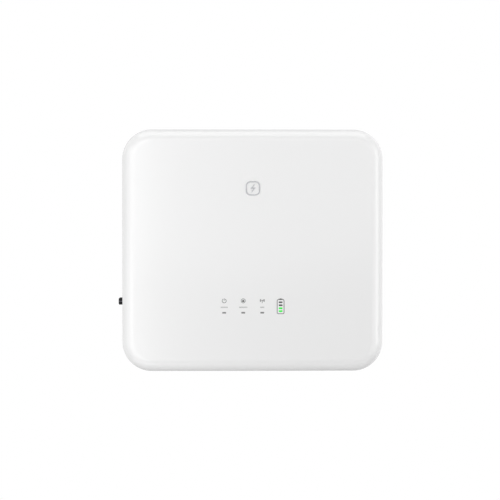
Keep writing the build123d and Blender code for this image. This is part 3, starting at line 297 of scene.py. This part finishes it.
def windings():
    finish = Finish("enamelled_wire", (0.40, 0.16, 0.06), 0.3, 0.8)
    wires = finish.add("ShaderNodeTexWave", wave_type="BANDS", bands_direction="DIAGONAL")
    wires.inputs["Scale"].default_value = 1 / (6 * MM)
    wires.inputs["Distortion"].default_value = 0.4
    finish.link(finish.coordinates, wires.inputs["Vector"])
    finish.tint(wires.outputs["Color"], (0.55, 0.25, 0.10))
    finish.bump(wires.outputs["Color"], 0.5 * MM)
    return finish.material


WHITE = gloss_white()
INK_DARK = moulded("ink_dark", (0.07, 0.07, 0.07), 0.4)
INK_ICON = moulded("ink_icon", (0.16, 0.16, 0.16), 0.4)
INK_MID = moulded("ink_mid", (0.26, 0.26, 0.26), 0.4)
INK_PALE = moulded("ink_pale", (0.38, 0.38, 0.38), 0.4)
PLATE = turned_metal("satin_plate", (0.72, 0.72, 0.73), 0.35)
TICK_WHITE = moulded("tick_white", (0.80, 0.80, 0.80), 0.4)
RED_RING = moulded("red_ring", (0.50, 0.02, 0.015), 0.4)
BLUE_RING = moulded("blue_ring", (0.015, 0.07, 0.35), 0.4)
LENS_GREY = moulded("lens_grey", (0.235, 0.235, 0.235), 0.2)
LENS_DARK = moulded("lens_dark", (0.10, 0.10, 0.10), 0.2)
LENS_GREEN = lit("lens_green", (0.0, 0.85, 0.04), 0.95)
BLACK = moulded("black_plastic", (0.018, 0.018, 0.020), 0.42)
RUBBER = moulded("rubber", (0.03, 0.03, 0.031), 0.75, 0.8 * MM, 0.04 * MM)
HOUSING = powder_coat("powder_coat", (0.50, 0.52, 0.54))
STEEL = turned_metal("stainless", (0.60, 0.60, 0.62), 0.28)
ZINC = zinc_sheet()
BOARD = circuit_board()
FINISHES = {
    "rear_housing housing_flange": HOUSING,
    "heat_sink": extruded_alloy(),
    "hanger_rail wall_bracket pack_shelf isolator_shaft": ZINC,
    "m4_screws m3_screws button_spring": STEEL,
    "cover_gasket heat_sink_gasket isolator_seal wall_buffers": RUBBER,
    "badge": turned_metal("satin_chrome", (0.72, 0.73, 0.75), 0.18),
    "power_lens backup_lens comms_lens": LENS_GREY,
    "charge_lens_1 charge_lens_2": LENS_GREEN,
    "charge_lens_3 charge_lens_4": LENS_DARK,
    "isolator_knob": moulded("knob_black", (0.007, 0.007, 0.008), 0.5, Specular_IOR_Level=0.3),
    "isolator_bezel isolator_rotor start_switch dc_connector_negative": BLACK,
    "dc_connector_positive cable_glands locknuts breather_valve": BLACK,
    "knob_pointer": moulded("pointer", (0.07, 0.07, 0.08), 0.45, Specular_IOR_Level=0.3),
    "isolator_body start_button": moulded("pale_plastic", (0.62, 0.62, 0.60), 0.4),
    "isolator_contacts cell_busbars": turned_metal("copper", (0.80, 0.45, 0.28), 0.3),
    "indicator_board cell_monitor_board inverter_board": BOARD,
    "cell_1 cell_2 cell_3 cell_4 cell_5 cell_6 cell_7 cell_8": film(),
    "cell_insulators": moulded("sheet", (0.80, 0.80, 0.76), 0.5),
    "pack_end_plates": turned_metal("machined_alloy", (0.75, 0.76, 0.77), 0.35),
    "pack_bands": turned_metal("strip_steel", (0.62, 0.62, 0.64), 0.25),
    "power_modules dc_link_capacitors": moulded("epoxy", (0.03, 0.032, 0.04), 0.3),
    "filter_chokes": windings(),
    "ac_terminal_block main_relay": moulded("terminal", (0.16, 0.17, 0.18), 0.4),
    "main_fuse": moulded("ceramic", (0.80, 0.78, 0.70), 0.25),
    "positive_cable": moulded("red_cable", (0.45, 0.02, 0.015), 0.5),
    "negative_cable": moulded("black_cable", (0.02, 0.02, 0.022), 0.5),
    "earth_stud": turned_metal("brass", (0.75, 0.58, 0.28), 0.3),
}
for names, material in FINISHES.items():
    for name in names.split():
        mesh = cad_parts[name].data
        mesh.materials.clear()
        mesh.materials.append(material)

# --------------------------------------------------------------------------------------------------
# Front cover: one closed shell, outside and inside, with a window for each light pipe
# --------------------------------------------------------------------------------------------------
FILLET_STEPS, ARC_STEPS, SIDE_STEPS, GRID = 16, 16, 24, 12 * MM
WINDOW_W, WINDOW_H, WINDOW_R, WINDOW_STEPS = 7.2 * MM, 3.0 * MM, 0.8 * MM, 4
LENS_NAMES = ["power_lens", "backup_lens", "comms_lens", *[f"charge_lens_{i}" for i in range(1, 5)]]
RIM_ROUND = 0.5 * MM
# The rim from inside to outside: inset and forward in RIM_ROUNDs, then the normal outward and forward
RIM = [
    (0, 1, -1, 0), (-0.3, 0.3, -0.7, -0.7), (-1, 0, 0, -1),
    (1, 0, 0, -1), (0.3, 0.3, 0.7, -0.7), (0, 1, 1, 0),
]


def window(name):
    """Centre of a light pipe as (x, z from the casing's centre)."""
    low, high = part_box(name)
    return (low.x + high.x) / 2, (low.z + high.z) / 2 - CENTRE_Z


def cover_ring(shape, inset, out, front, drop=None, y=None):
    """A closed ring of the cover at that inset: at depth y, or at that drop behind the dome."""
    ring = []
    for x, z, nx, nz in rounded(
        WIDTH - 2 * inset, HEIGHT - 2 * inset, CORNER_R - inset, ARC_STEPS, SIDE_STEPS
    ):
        depth = y if y is not None else -DEPTH + sag(x, z) + drop
        facing = Vector((x / CROWN_R, -1, z / CROWN_R)) if drop is not None else Vector((0, -1, 0))
        normal = Vector((nx, 0, nz)) * out + facing * front
        ring.append((shape.point((x, depth, z + CENTRE_Z)), normal))
    return ring


def cover_face(shape, ring, inset, drop, side):
    """Fills the ring at the cover's front, with its windows. side is 1 outside and -1 inside."""
    outline = rounded(WIDTH - 2 * inset, HEIGHT - 2 * inset, CORNER_R - inset, ARC_STEPS, SIDE_STEPS)
    windows = [
        rounded(WINDOW_W, WINDOW_H, WINDOW_R, WINDOW_STEPS, 1, window(name)) for name in LENS_NAMES
    ]
    columns, rows = int(WIDTH / GRID / 2), int(HEIGHT / GRID / 2)
    limit_x, limit_z = WIDTH / 2 - inset - GRID / 2, HEIGHT / 2 - inset - GRID / 2
    inner = CORNER_R - inset
    grid = []
    for i in range(-columns, columns + 1):
        for j in range(-rows, rows + 1):
            x, z = i * GRID, j * GRID
            past = Vector((max(0, abs(x) - limit_x + inner), max(0, abs(z) - limit_z + inner)))
            if past.length < inner:
                grid.append((x, z))
    verts, triangles, sources = tiles([outline], windows, grid)
    loops = [len(outline)] + [len(w) for w in windows]
    index = []
    for v, source in zip(verts, sources):
        if source is not None and source < loops[0]:
            index.append(ring[source][0])
        else:
            index.append(shape.point((v.x, -DEPTH + sag(v.x, v.y) + drop, v.y + CENTRE_Z)))
    for triangle in triangles:
        corners = triangle[::side]
        normals = [Vector((verts[c].x / CROWN_R, -1, verts[c].y / CROWN_R)) * side for c in corners]
        shape.face([index[c] for c in corners], normals)
    place = {source: index[k] for k, source in enumerate(sources) if source is not None}
    edges, first = [], loops[0]
    for loop in windows:
        edges.append([
            (place[first + k], Vector((-p[2], 0, -p[3]))) for k, p in enumerate(loop)
        ])
        first += len(loop)
    return edges


def front_cover():
    shape = Shape()
    inner_r = EDGE_R - WALL
    turns = [math.pi / 2 * k / FILLET_STEPS for k in range(FILLET_STEPS + 1)]
    rings = [
        cover_ring(
            shape, WALL + inner_r * (1 - math.cos(t)), -math.cos(t), -math.sin(t),
            drop=WALL + inner_r * (1 - math.sin(t)),
        )
        for t in reversed(turns)
    ]
    for k, (inset, forward, out, front) in enumerate(RIM):
        side = WALL if k < len(RIM) / 2 else 0
        rings.append(
            cover_ring(shape, side + inset * RIM_ROUND, out, front, y=REAR - forward * RIM_ROUND)
        )
    for t in turns:
        rings.append(cover_ring(
            shape, EDGE_R * (1 - math.cos(t)), math.cos(t), math.sin(t), drop=EDGE_R * (1 - math.sin(t))
        ))
    for first, second in zip(rings, rings[1:]):
        shape.strip(first, second)
    outer = cover_face(shape, rings[-1], EDGE_R, 0, 1)
    inner = cover_face(shape, rings[0], EDGE_R, WALL, -1)
    for front_edge, back_edge in zip(outer, inner):
        shape.strip(front_edge, back_edge)
    made = shape.piece("cover_shell", WHITE)
    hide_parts("front_cover")


front_cover()

# --------------------------------------------------------------------------------------------------
# Inside the cover: the sealing rib and the bosses for its screws and the indicator board
# --------------------------------------------------------------------------------------------------
RIB_FOOT, RIB_WALL, RIB_R = -152 * MM, 3 * MM, 43.5 * MM
SCREW_EDGE = 8 * MM
SCREW_ZS, SCREW_XS = (-140 * MM, -45 * MM, 50 * MM, 145 * MM), (-140 * MM, 0, 140 * MM)
SCREW_BOSS_R, SCREW_PILOT_R, SCREW_BOSS_L = 5.5 * MM, 2.1 * MM, 30 * MM
BOARD_BOSS_X, BOARD_BOSS_Z, BOARD_BOSS_R, BOARD_PILOT_R = 68 * MM, 16 * MM, 3.5 * MM, 1.6 * MM


def skin(x, z):
    """Depth of the middle of the cover's wall, its rounded edge included."""
    past_x, past_z = abs(x) - WIDTH / 2 + CORNER_R, abs(z) - HEIGHT / 2 + CORNER_R
    inset = CORNER_R - min(max(past_x, past_z), 0) - math.hypot(max(past_x, 0), max(past_z, 0))
    bend = max(0, EDGE_R - inset)
    return -DEPTH + sag(x, z) + WALL / 2 + EDGE_R - math.sqrt(EDGE_R ** 2 - bend ** 2)


def walls(shape, outer, inner, foot, tip):
    """A closed wall between two loops of (x, z, outward x, outward z), from depth foot to tip(x, z)."""
    rings = []
    for loop, side in ((outer, 1), (inner, -1)):
        out = [Vector((p[2], 0, p[3])) * side for p in loop]
        low = [(shape.point((p[0], foot, p[1] + CENTRE_Z)), n) for p, n in zip(loop, out)]
        high = [(shape.point((p[0], tip(p[0], p[1]), p[1] + CENTRE_Z)), n) for p, n in zip(loop, out)]
        rings.append((low, high))
    (outer_low, outer_high), (inner_low, inner_high) = rings
    shape.strip(outer_low, outer_high)
    shape.strip(inner_high, inner_low)
    for first, second, along in ((outer_high, inner_high, -1), (inner_low, outer_low, 1)):
        facing = Vector((0, along, 0))
        shape.strip([(k, facing) for k, _ in first], [(k, facing) for k, _ in second])


def round_loop(x, z, radius, steps=20):
    turns = [2 * math.pi * k / steps for k in range(steps)]
    return [(x + radius * math.cos(t), z + radius * math.sin(t), math.cos(t), math.sin(t)) for t in turns]


def cover_rib():
    """The wall inside the cover that presses on the gasket."""
    low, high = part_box("cover_gasket")
    w, h = high.x - low.x, high.z - low.z
    centre = (0, (low.z + high.z) / 2 - CENTRE_Z)
    rib = Shape()
    walls(
        rib, rounded(w, h, RIB_R, ARC_STEPS, SIDE_STEPS, centre),
        rounded(w - 2 * RIB_WALL, h - 2 * RIB_WALL, RIB_R - RIB_WALL, ARC_STEPS, SIDE_STEPS, centre),
        RIB_FOOT, skin,
    )
    rib.piece("cover_rib", WHITE)


def cover_bosses():
    """The bosses for the cover's screws, and the four that hold the indicator board."""
    bosses = Shape()
    edge_x, edge_z = WIDTH / 2 - SCREW_EDGE, HEIGHT / 2 - SCREW_EDGE
    places = [(side * edge_x, z) for side in (-1, 1) for z in SCREW_ZS]
    places += [(x, side * edge_z) for side in (-1, 1) for x in SCREW_XS]
    for x, z in places:
        outer, inner = round_loop(x, z, SCREW_BOSS_R), round_loop(x, z, SCREW_PILOT_R)
        walls(bosses, outer, inner, RIB_FOOT, lambda *_: RIB_FOOT - SCREW_BOSS_L)
    low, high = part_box("indicator_board")
    board_z = (low.z + high.z) / 2 - CENTRE_Z
    for x in (-BOARD_BOSS_X, BOARD_BOSS_X):
        for z in (board_z - BOARD_BOSS_Z, board_z + BOARD_BOSS_Z):
            walls(bosses, round_loop(x, z, BOARD_BOSS_R), round_loop(x, z, BOARD_PILOT_R), low.y, skin)
    bosses.piece("cover_bosses", WHITE)


cover_rib()
cover_bosses()


def start_spring():
    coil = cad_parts["button_spring"]
    made = bpy.data.objects.new("switch_spring", coil.data.copy())
    made.matrix_world = coil.matrix_world
    bpy.context.scene.collection.objects.link(made)
    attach(made, "root")
    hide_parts("button_spring")
    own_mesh(made)


start_spring()

# --------------------------------------------------------------------------------------------------
# Printing: thin closed layers on the cover and on the sides
# --------------------------------------------------------------------------------------------------
INK_T, INK_SUNK = 0.06 * MM, 0.02 * MM
END_STEPS = 8


def on_cover(x, z, out):
    return x, -DEPTH + sag(x, z) - out, z + CENTRE_Z


def printed(name, material, solids, holes=(), lay=on_cover, facing=(0, -1, 0), thickness=INK_T):
    """A closed layer of that outline. lay(x, z, out) puts it on its surface, that far out."""
    shape = Shape()
    verts, triangles, _ = tiles(solids, holes)
    front = [shape.point(lay(v.x, v.y, thickness)) for v in verts]
    back = [shape.point(lay(v.x, v.y, -INK_SUNK)) for v in verts]
    forward = Vector(facing)
    right = Vector((0, 0, 1)).cross(-forward)
    sides = {}
    for a, b, c in triangles:
        shape.face([front[a], front[b], front[c]], [forward] * 3)
        shape.face([back[c], back[b], back[a]], [-forward] * 3)
        sides.update(dict.fromkeys(((a, b), (b, c), (c, a))))
    for a, b in sides:
        if (b, a) not in sides:
            along = verts[b] - verts[a]
            out = right * along.y - Vector((0, 0, along.x))
            shape.face([front[a], back[a], back[b], front[b]], [out] * 4)
    shape.piece(name, material)


def round_points(centre, radius, angles):
    return [(centre[0] + radius * math.cos(t), centre[1] + radius * math.sin(t)) for t in angles]


def disc(centre, radius, steps=40):
    return round_points(centre, radius, [2 * math.pi * k / steps for k in range(steps)])


def bar(start, end, width):
    """A straight stroke with round ends."""
    a, b = Vector(start), Vector(end)
    along = (b - a).angle_signed(Vector((1, 0)))
    half = [math.pi / 2 + math.pi * k / END_STEPS for k in range(END_STEPS + 1)]
    loop = [a + width / 2 * Vector((math.cos(along + t), math.sin(along + t))) for t in half]
    loop += [b - width / 2 * Vector((math.cos(along + t), math.sin(along + t))) for t in half]
    return [tuple(p) for p in loop]


def arc(centre, radius, width, start, end, steps=28):
    """A curved stroke between two angles in degrees."""
    angles = [math.radians(start + (end - start) * k / steps) for k in range(steps + 1)]
    outer = round_points(centre, radius + width / 2, angles)
    return outer + round_points(centre, radius - width / 2, angles[::-1])


# Above each status window: its icon, then its caption's row of blocks
ICON_RISE, STROKE = 22.6 * MM, 1.1 * MM
POWER_R, POWER_OPENING = 3.8 * MM, 26
POWER_TICK = (0, 0.6), (0, 4.2)
BACKUP_R, BACKUP_INNER_R = 4.4 * MM, 3.4 * MM
HOUSE = (-2.1, -2.0), (2.1, -2.0), (2.1, 0.3), (0, 2.4), (-2.1, 0.3)
MAST = (0, -3.9), (0, 0.5)
MAST_TIP_R, MAST_TIP_RISE, MAST_TIP_STEPS = 1.1 * MM, 0.7 * MM, 16
WAVE_RADII, WAVE_HALF_ANGLE, WAVE_STEPS = (2.5 * MM, 4.1 * MM), 40, 12
LABEL_RISE, BLOCK_PITCH = 10.4 * MM, 1.95 * MM
BLOCK_W, BLOCK_H, BLOCK_R, BLOCK_STEPS = 1.35 * MM, 2.3 * MM, 0.3 * MM, 3
power, backup, comms = (window(name) for name in LENS_NAMES[:3])
icons_at = [Vector((x, z + ICON_RISE)) for x, z in (power, backup, comms)]


def shifted(centre, *offsets):
    return [tuple(centre + Vector(o) * MM) for o in offsets]


def icons():
    p, b, c = icons_at
    power_mark = [
        arc(p, POWER_R, STROKE, 90 + POWER_OPENING, 450 - POWER_OPENING),
        bar(*shifted(p, *POWER_TICK), STROKE),
    ]
    middle = c + Vector((0, MAST_TIP_RISE))
    comms_mark = [bar(*shifted(c, *MAST), STROKE), disc(middle, MAST_TIP_R, MAST_TIP_STEPS)]
    for radius in WAVE_RADII:
        for side in (0, 180):
            ends = side - WAVE_HALF_ANGLE, side + WAVE_HALF_ANGLE
            comms_mark.append(arc(middle, radius, STROKE, *ends, WAVE_STEPS))
    printed("power_icon", INK_ICON, power_mark)
    printed("backup_icon", INK_ICON, [disc(b, BACKUP_R)], [disc(b, BACKUP_INNER_R)])
    printed("backup_icon_house", INK_DARK, [shifted(b, *HOUSE)])
    printed("comms_icon", INK_ICON, comms_mark)


def labels():
    """Rows of plain blocks where the captions are."""
    for name, (x, z), blocks in (
        ("power_caption", power, 7), ("backup_caption", backup, 8), ("comms_caption", comms, 4)
    ):
        centres = [(x + (k - (blocks - 1) / 2) * BLOCK_PITCH, z + LABEL_RISE) for k in range(blocks)]
        loops = [rounded(BLOCK_W, BLOCK_H, BLOCK_R, BLOCK_STEPS, 1, centre) for centre in centres]
        printed(name, INK_PALE, loops)


GAUGE_W, GAUGE_H, GAUGE_RISE, GAUGE_LINE, GAUGE_STEPS = 14.7 * MM, 29.2 * MM, 0.5 * MM, 1.7 * MM, 8
GAUGE_FOOT_R, GAUGE_SHOULDER_R = 3.2 * MM, 4.6 * MM
GAUGE_CAP = (-3.6, -2.2), (3.6, -2.2), (3.0, -0.6), (1.0, 0.5), (-1.0, 0.5), (-3.0, -0.6)


def gauge():
    """The outline round the charge bars: a cell standing up, with rounder shoulders and its cap."""
    low, high = window("charge_lens_1"), window("charge_lens_4")
    centre = Vector((low[0], (low[1] + high[1]) / 2 + GAUGE_RISE))
    loops = []
    for inset in (0, GAUGE_LINE):
        w, h = GAUGE_W - 2 * inset, GAUGE_H - 2 * inset
        square = rounded(w, h, GAUGE_FOOT_R - inset, GAUGE_STEPS, 1, centre)
        round_topped = rounded(w, h, GAUGE_SHOULDER_R - inset, GAUGE_STEPS, 1, centre)
        half = len(square) // 2
        loops.append(round_topped[:half] + square[half:])
    outside, inside = loops
    printed("gauge_outline", INK_MID, [outside], [inside])
    top = centre + Vector((0, GAUGE_H / 2))
    printed("gauge_cap", INK_DARK, [shifted(top, *GAUGE_CAP)])


PLATE_W, PLATE_H, PLATE_R, PLATE_T = 70 * MM, 48 * MM, 3 * MM, 0.3 * MM
PLATE_Y, PLATE_Z = -90 * MM, 60 * MM
PLATE_ROWS = [(40, 15), (58, 8), (50, 1), (58, -6), (34, -13)]
PLATE_MARGIN, ROW_H, ROW_R = 29, 2.4 * MM, 0.4 * MM


def rating_plate():
    """A blank plate on the housing's right side, with plain blocks in rows."""
    wall = -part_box("isolator_seal")[1].x

    def on_side(across, up, out):
        return wall + out, PLATE_Y + across, PLATE_Z + up + CENTRE_Z

    facing = (1, 0, 0)
    plate = rounded(PLATE_W, PLATE_H, PLATE_R)
    printed("rating_plate", PLATE, [plate], lay=on_side, facing=facing, thickness=PLATE_T)
    blocks = [
        rounded(width * MM, ROW_H, ROW_R, BLOCK_STEPS, 1, ((width / 2 - PLATE_MARGIN) * MM, up * MM))
        for width, up in PLATE_ROWS
    ]
    printed(
        "rating_plate_blocks", INK_MID, blocks, lay=on_side, facing=facing,
        thickness=PLATE_T + INK_T,
    )


TICK_IN, TICK_OUT, TICK_W = 19.9 * MM, 21.2 * MM, 1.1 * MM


def switch_marks():
    """A tick on the bezel for each end of the isolator's turn."""
    low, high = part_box("isolator_bezel")
    centre_y, centre_z = (low.y + high.y) / 2, (low.z + high.z) / 2

    def on_bezel(across, up, out):
        return low.x - out, centre_y - across, centre_z + up

    ticks = [bar((TICK_IN, 0), (TICK_OUT, 0), TICK_W), bar((0, TICK_IN), (0, TICK_OUT), TICK_W)]
    printed("switch_marks", TICK_WHITE, ticks, lay=on_bezel, facing=(-1, 0, 0))


def lathe(shape, outline, x, y, steps=48):
    """Turns a closed outline of (radius, z) about the upright axis through (x, y)."""
    turns = [2 * math.pi * k / steps for k in range(steps)]
    rings = [
        [shape.point((x + r * math.cos(t), y + r * math.sin(t), z)) for t in turns] for r, z in outline
    ]
    for k, (r0, z0) in enumerate(outline):
        following = (k + 1) % len(outline)
        r1, z1 = outline[following]
        normals = [Vector(((z1 - z0) * math.cos(t), (z1 - z0) * math.sin(t), r0 - r1)) for t in turns]
        shape.strip(list(zip(rings[k], normals)), list(zip(rings[following], normals)))


RING_IN, RING_OUT, RING_EDGE, RING_H, RING_RISE = 8.4 * MM, 9.2 * MM, 0.3 * MM, 5 * MM, 19 * MM


def polarity_rings():
    """A coloured sleeve round each DC socket's barrel."""
    for name, material, slot in (
        ("dc_connector_negative", BLUE_RING, "cable_black"), ("dc_connector_positive", RED_RING, "cable_red")
    ):
        low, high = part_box(name)
        top = low.z + RING_RISE
        foot = top - RING_H
        outline = [
            (RING_IN, top), (RING_IN, foot), (RING_OUT - RING_EDGE, foot), (RING_OUT, foot + RING_EDGE),
            (RING_OUT, top - RING_EDGE), (RING_OUT - RING_EDGE, top),
        ]
        ring = Shape()
        lathe(ring, outline, (low.x + high.x) / 2, (low.y + high.y) / 2)
        ring.piece(f"{name}_ring", material)


icons()
labels()
gauge()
rating_plate()
switch_marks()
polarity_rings()

# --------------------------------------------------------------------------------------------------
# Floor, light and camera
# --------------------------------------------------------------------------------------------------
FLOOR_R, FLOOR_Y, FLOOR_Z, FLOOR_STEPS = 1.2, -0.1, CENTRE_Z - 1.15, 96
FLOOR_COLOUR, FLOOR_ROUGHNESS, FLOOR_NOISE = (0.66, 0.66, 0.66), 0.9, 0.25


def floor():
    ring = [(x, y, FLOOR_Z) for x, y in disc((0, FLOOR_Y), FLOOR_R, FLOOR_STEPS)]
    mesh = bpy.data.meshes.new("floor")
    mesh.from_pydata(ring, [], [list(range(FLOOR_STEPS))])
    surface = Finish("floor", FLOOR_COLOUR, FLOOR_ROUGHNESS)
    surface.spread(
        surface.noise(FLOOR_NOISE), FLOOR_ROUGHNESS - 0.05, FLOOR_ROUGHNESS + 0.05, "Roughness"
    )
    mesh.materials.append(surface.material)
    made = bpy.data.objects.new("floor", mesh)
    bpy.context.scene.collection.objects.link(made)


# Brightness of the surroundings towards +X, +Y and +Z, and towards -X, -Y and -Z
SKY_TOWARDS, SKY_AGAINST = (0.64, 0.67, 0.26), (0.39, 0.0, 0.0)


def world_light():
    """White to the camera. As light it comes from behind, above and both sides, and not from below."""
    world = bpy.data.worlds.new("studio")
    bpy.context.scene.world = world
    world.use_nodes = True
    nodes, links = world.node_tree.nodes, world.node_tree.links

    def sky(weights, turned):
        """Brightness from the part of the direction that lies along +X, +Y, +Z, or -X, -Y, -Z if turned."""
        scale = nodes.new("ShaderNodeVectorMath")
        scale.operation = "SCALE"
        scale.inputs["Scale"].default_value = -1 if turned else 1
        links.new(direction, scale.inputs[0])
        positive = nodes.new("ShaderNodeVectorMath")
        positive.operation = "MAXIMUM"
        positive.inputs[1].default_value = (0, 0, 0)
        links.new(scale.outputs["Vector"], positive.inputs[0])
        dot = nodes.new("ShaderNodeVectorMath")
        dot.operation = "DOT_PRODUCT"
        dot.inputs[1].default_value = weights
        links.new(positive.outputs["Vector"], dot.inputs[0])
        return dot.outputs["Value"]

    direction = nodes.new("ShaderNodeTexCoord").outputs["Generated"]
    total = nodes.new("ShaderNodeMath")
    links.new(sky(SKY_TOWARDS, False), total.inputs[0])
    links.new(sky(SKY_AGAINST, True), total.inputs[1])
    light, seen = nodes["Background"], nodes.new("ShaderNodeBackground")
    links.new(total.outputs[0], light.inputs["Color"])
    seen.inputs["Color"].default_value = (1, 1, 1, 1)
    path, mix = nodes.new("ShaderNodeLightPath"), nodes.new("ShaderNodeMixShader")
    links.new(path.outputs["Is Camera Ray"], mix.inputs["Fac"])
    links.new(light.outputs[0], mix.inputs[1])
    links.new(seen.outputs[0], mix.inputs[2])
    links.new(mix.outputs[0], nodes["World Output"].inputs["Surface"])


LIT_X, LIT_Y, LIT_Z = WIDTH / 2 - EDGE_R / 2, -0.2, HEIGHT / 2 - EDGE_R / 2
MIDDLE, LEFT, RIGHT, TOP = (0, LIT_Y, 0), (-LIT_X, LIT_Y, 0), (LIT_X, LIT_Y, 0), (0, LIT_Y, LIT_Z)
# Each light's degrees right and up from straight ahead, distance, width, height, watts, aim and shape
SOFTBOXES = {
    "left_box": (-27.5, 0, 2.4, 1.99, 3.2, 36.5, LEFT, "RECTANGLE"),
    "right_box": (56, 0, 2.0, 2.7, 2.6, 11.2, RIGHT, "RECTANGLE"),
    "top_box": (0, 85, 1.6, 2.4, 1.42, 10.7, TOP, "RECTANGLE"),
    "front_disc": (0, 18, 3.0, 3.0, 2.4, 12.6, MIDDLE, "ELLIPSE"),
    "left_fill": (-65, 5, 0.9, 0.5, 1.2, 1.3, LEFT, "RECTANGLE"),
    "right_fill": (65, 5, 0.9, 0.4, 1.0, 1.5, RIGHT, "RECTANGLE"),
    "low_fill": (-40, -58, 0.75, 0.6, 0.4, 0.4, LEFT, "RECTANGLE"),
}


def softbox(name, right, up, distance, width, height, power, at, shape):
    """A light seen from that point of the object at those angles from straight ahead, aimed back at it."""
    light = bpy.data.lights.new(name, "AREA")
    light.shape, light.size, light.size_y, light.energy = shape, width, height, power
    a, e = math.radians(right), math.radians(up)
    back = Vector((math.sin(a) * math.cos(e), -math.cos(a) * math.cos(e), math.sin(e)))
    made = bpy.data.objects.new(name, light)
    made.location = Vector((at[0], at[1], at[2] + CENTRE_Z)) + back * distance
    made.rotation_euler = back.to_track_quat("Z", "Y").to_euler()
    made.visible_camera = False
    bpy.context.scene.collection.objects.link(made)


LENS_MM, SENSOR_MM, DISTANCE, CLIP_END = 133.3, 36, 3.5, 50
AZIMUTH, ELEVATION = math.radians(-1.3), math.radians(1.0)
FRAME_RIGHT, FRAME_UP = 5.6 * MM, 1.1 * MM


def camera():
    data = bpy.data.cameras.new("camera")
    data.lens, data.sensor_width, data.clip_end = LENS_MM, SENSOR_MM, CLIP_END
    made = bpy.data.objects.new("camera", data)
    bpy.context.scene.collection.objects.link(made)
    back = Vector((
        math.sin(AZIMUTH) * math.cos(ELEVATION), -math.cos(AZIMUTH) * math.cos(ELEVATION), math.sin(ELEVATION)
    ))
    aim = Vector((-FRAME_RIGHT, -DEPTH, CENTRE_Z + FRAME_UP))
    made.location = aim + back * DISTANCE
    made.rotation_mode = "QUATERNION"
    made.rotation_quaternion = (-back).to_track_quat("-Z", "Y")
    bpy.context.scene.camera = made


floor()
world_light()
for name, settings in SOFTBOXES.items():
    softbox(name, *settings)
camera()
bpy.context.scene.view_settings.view_transform = "Standard"
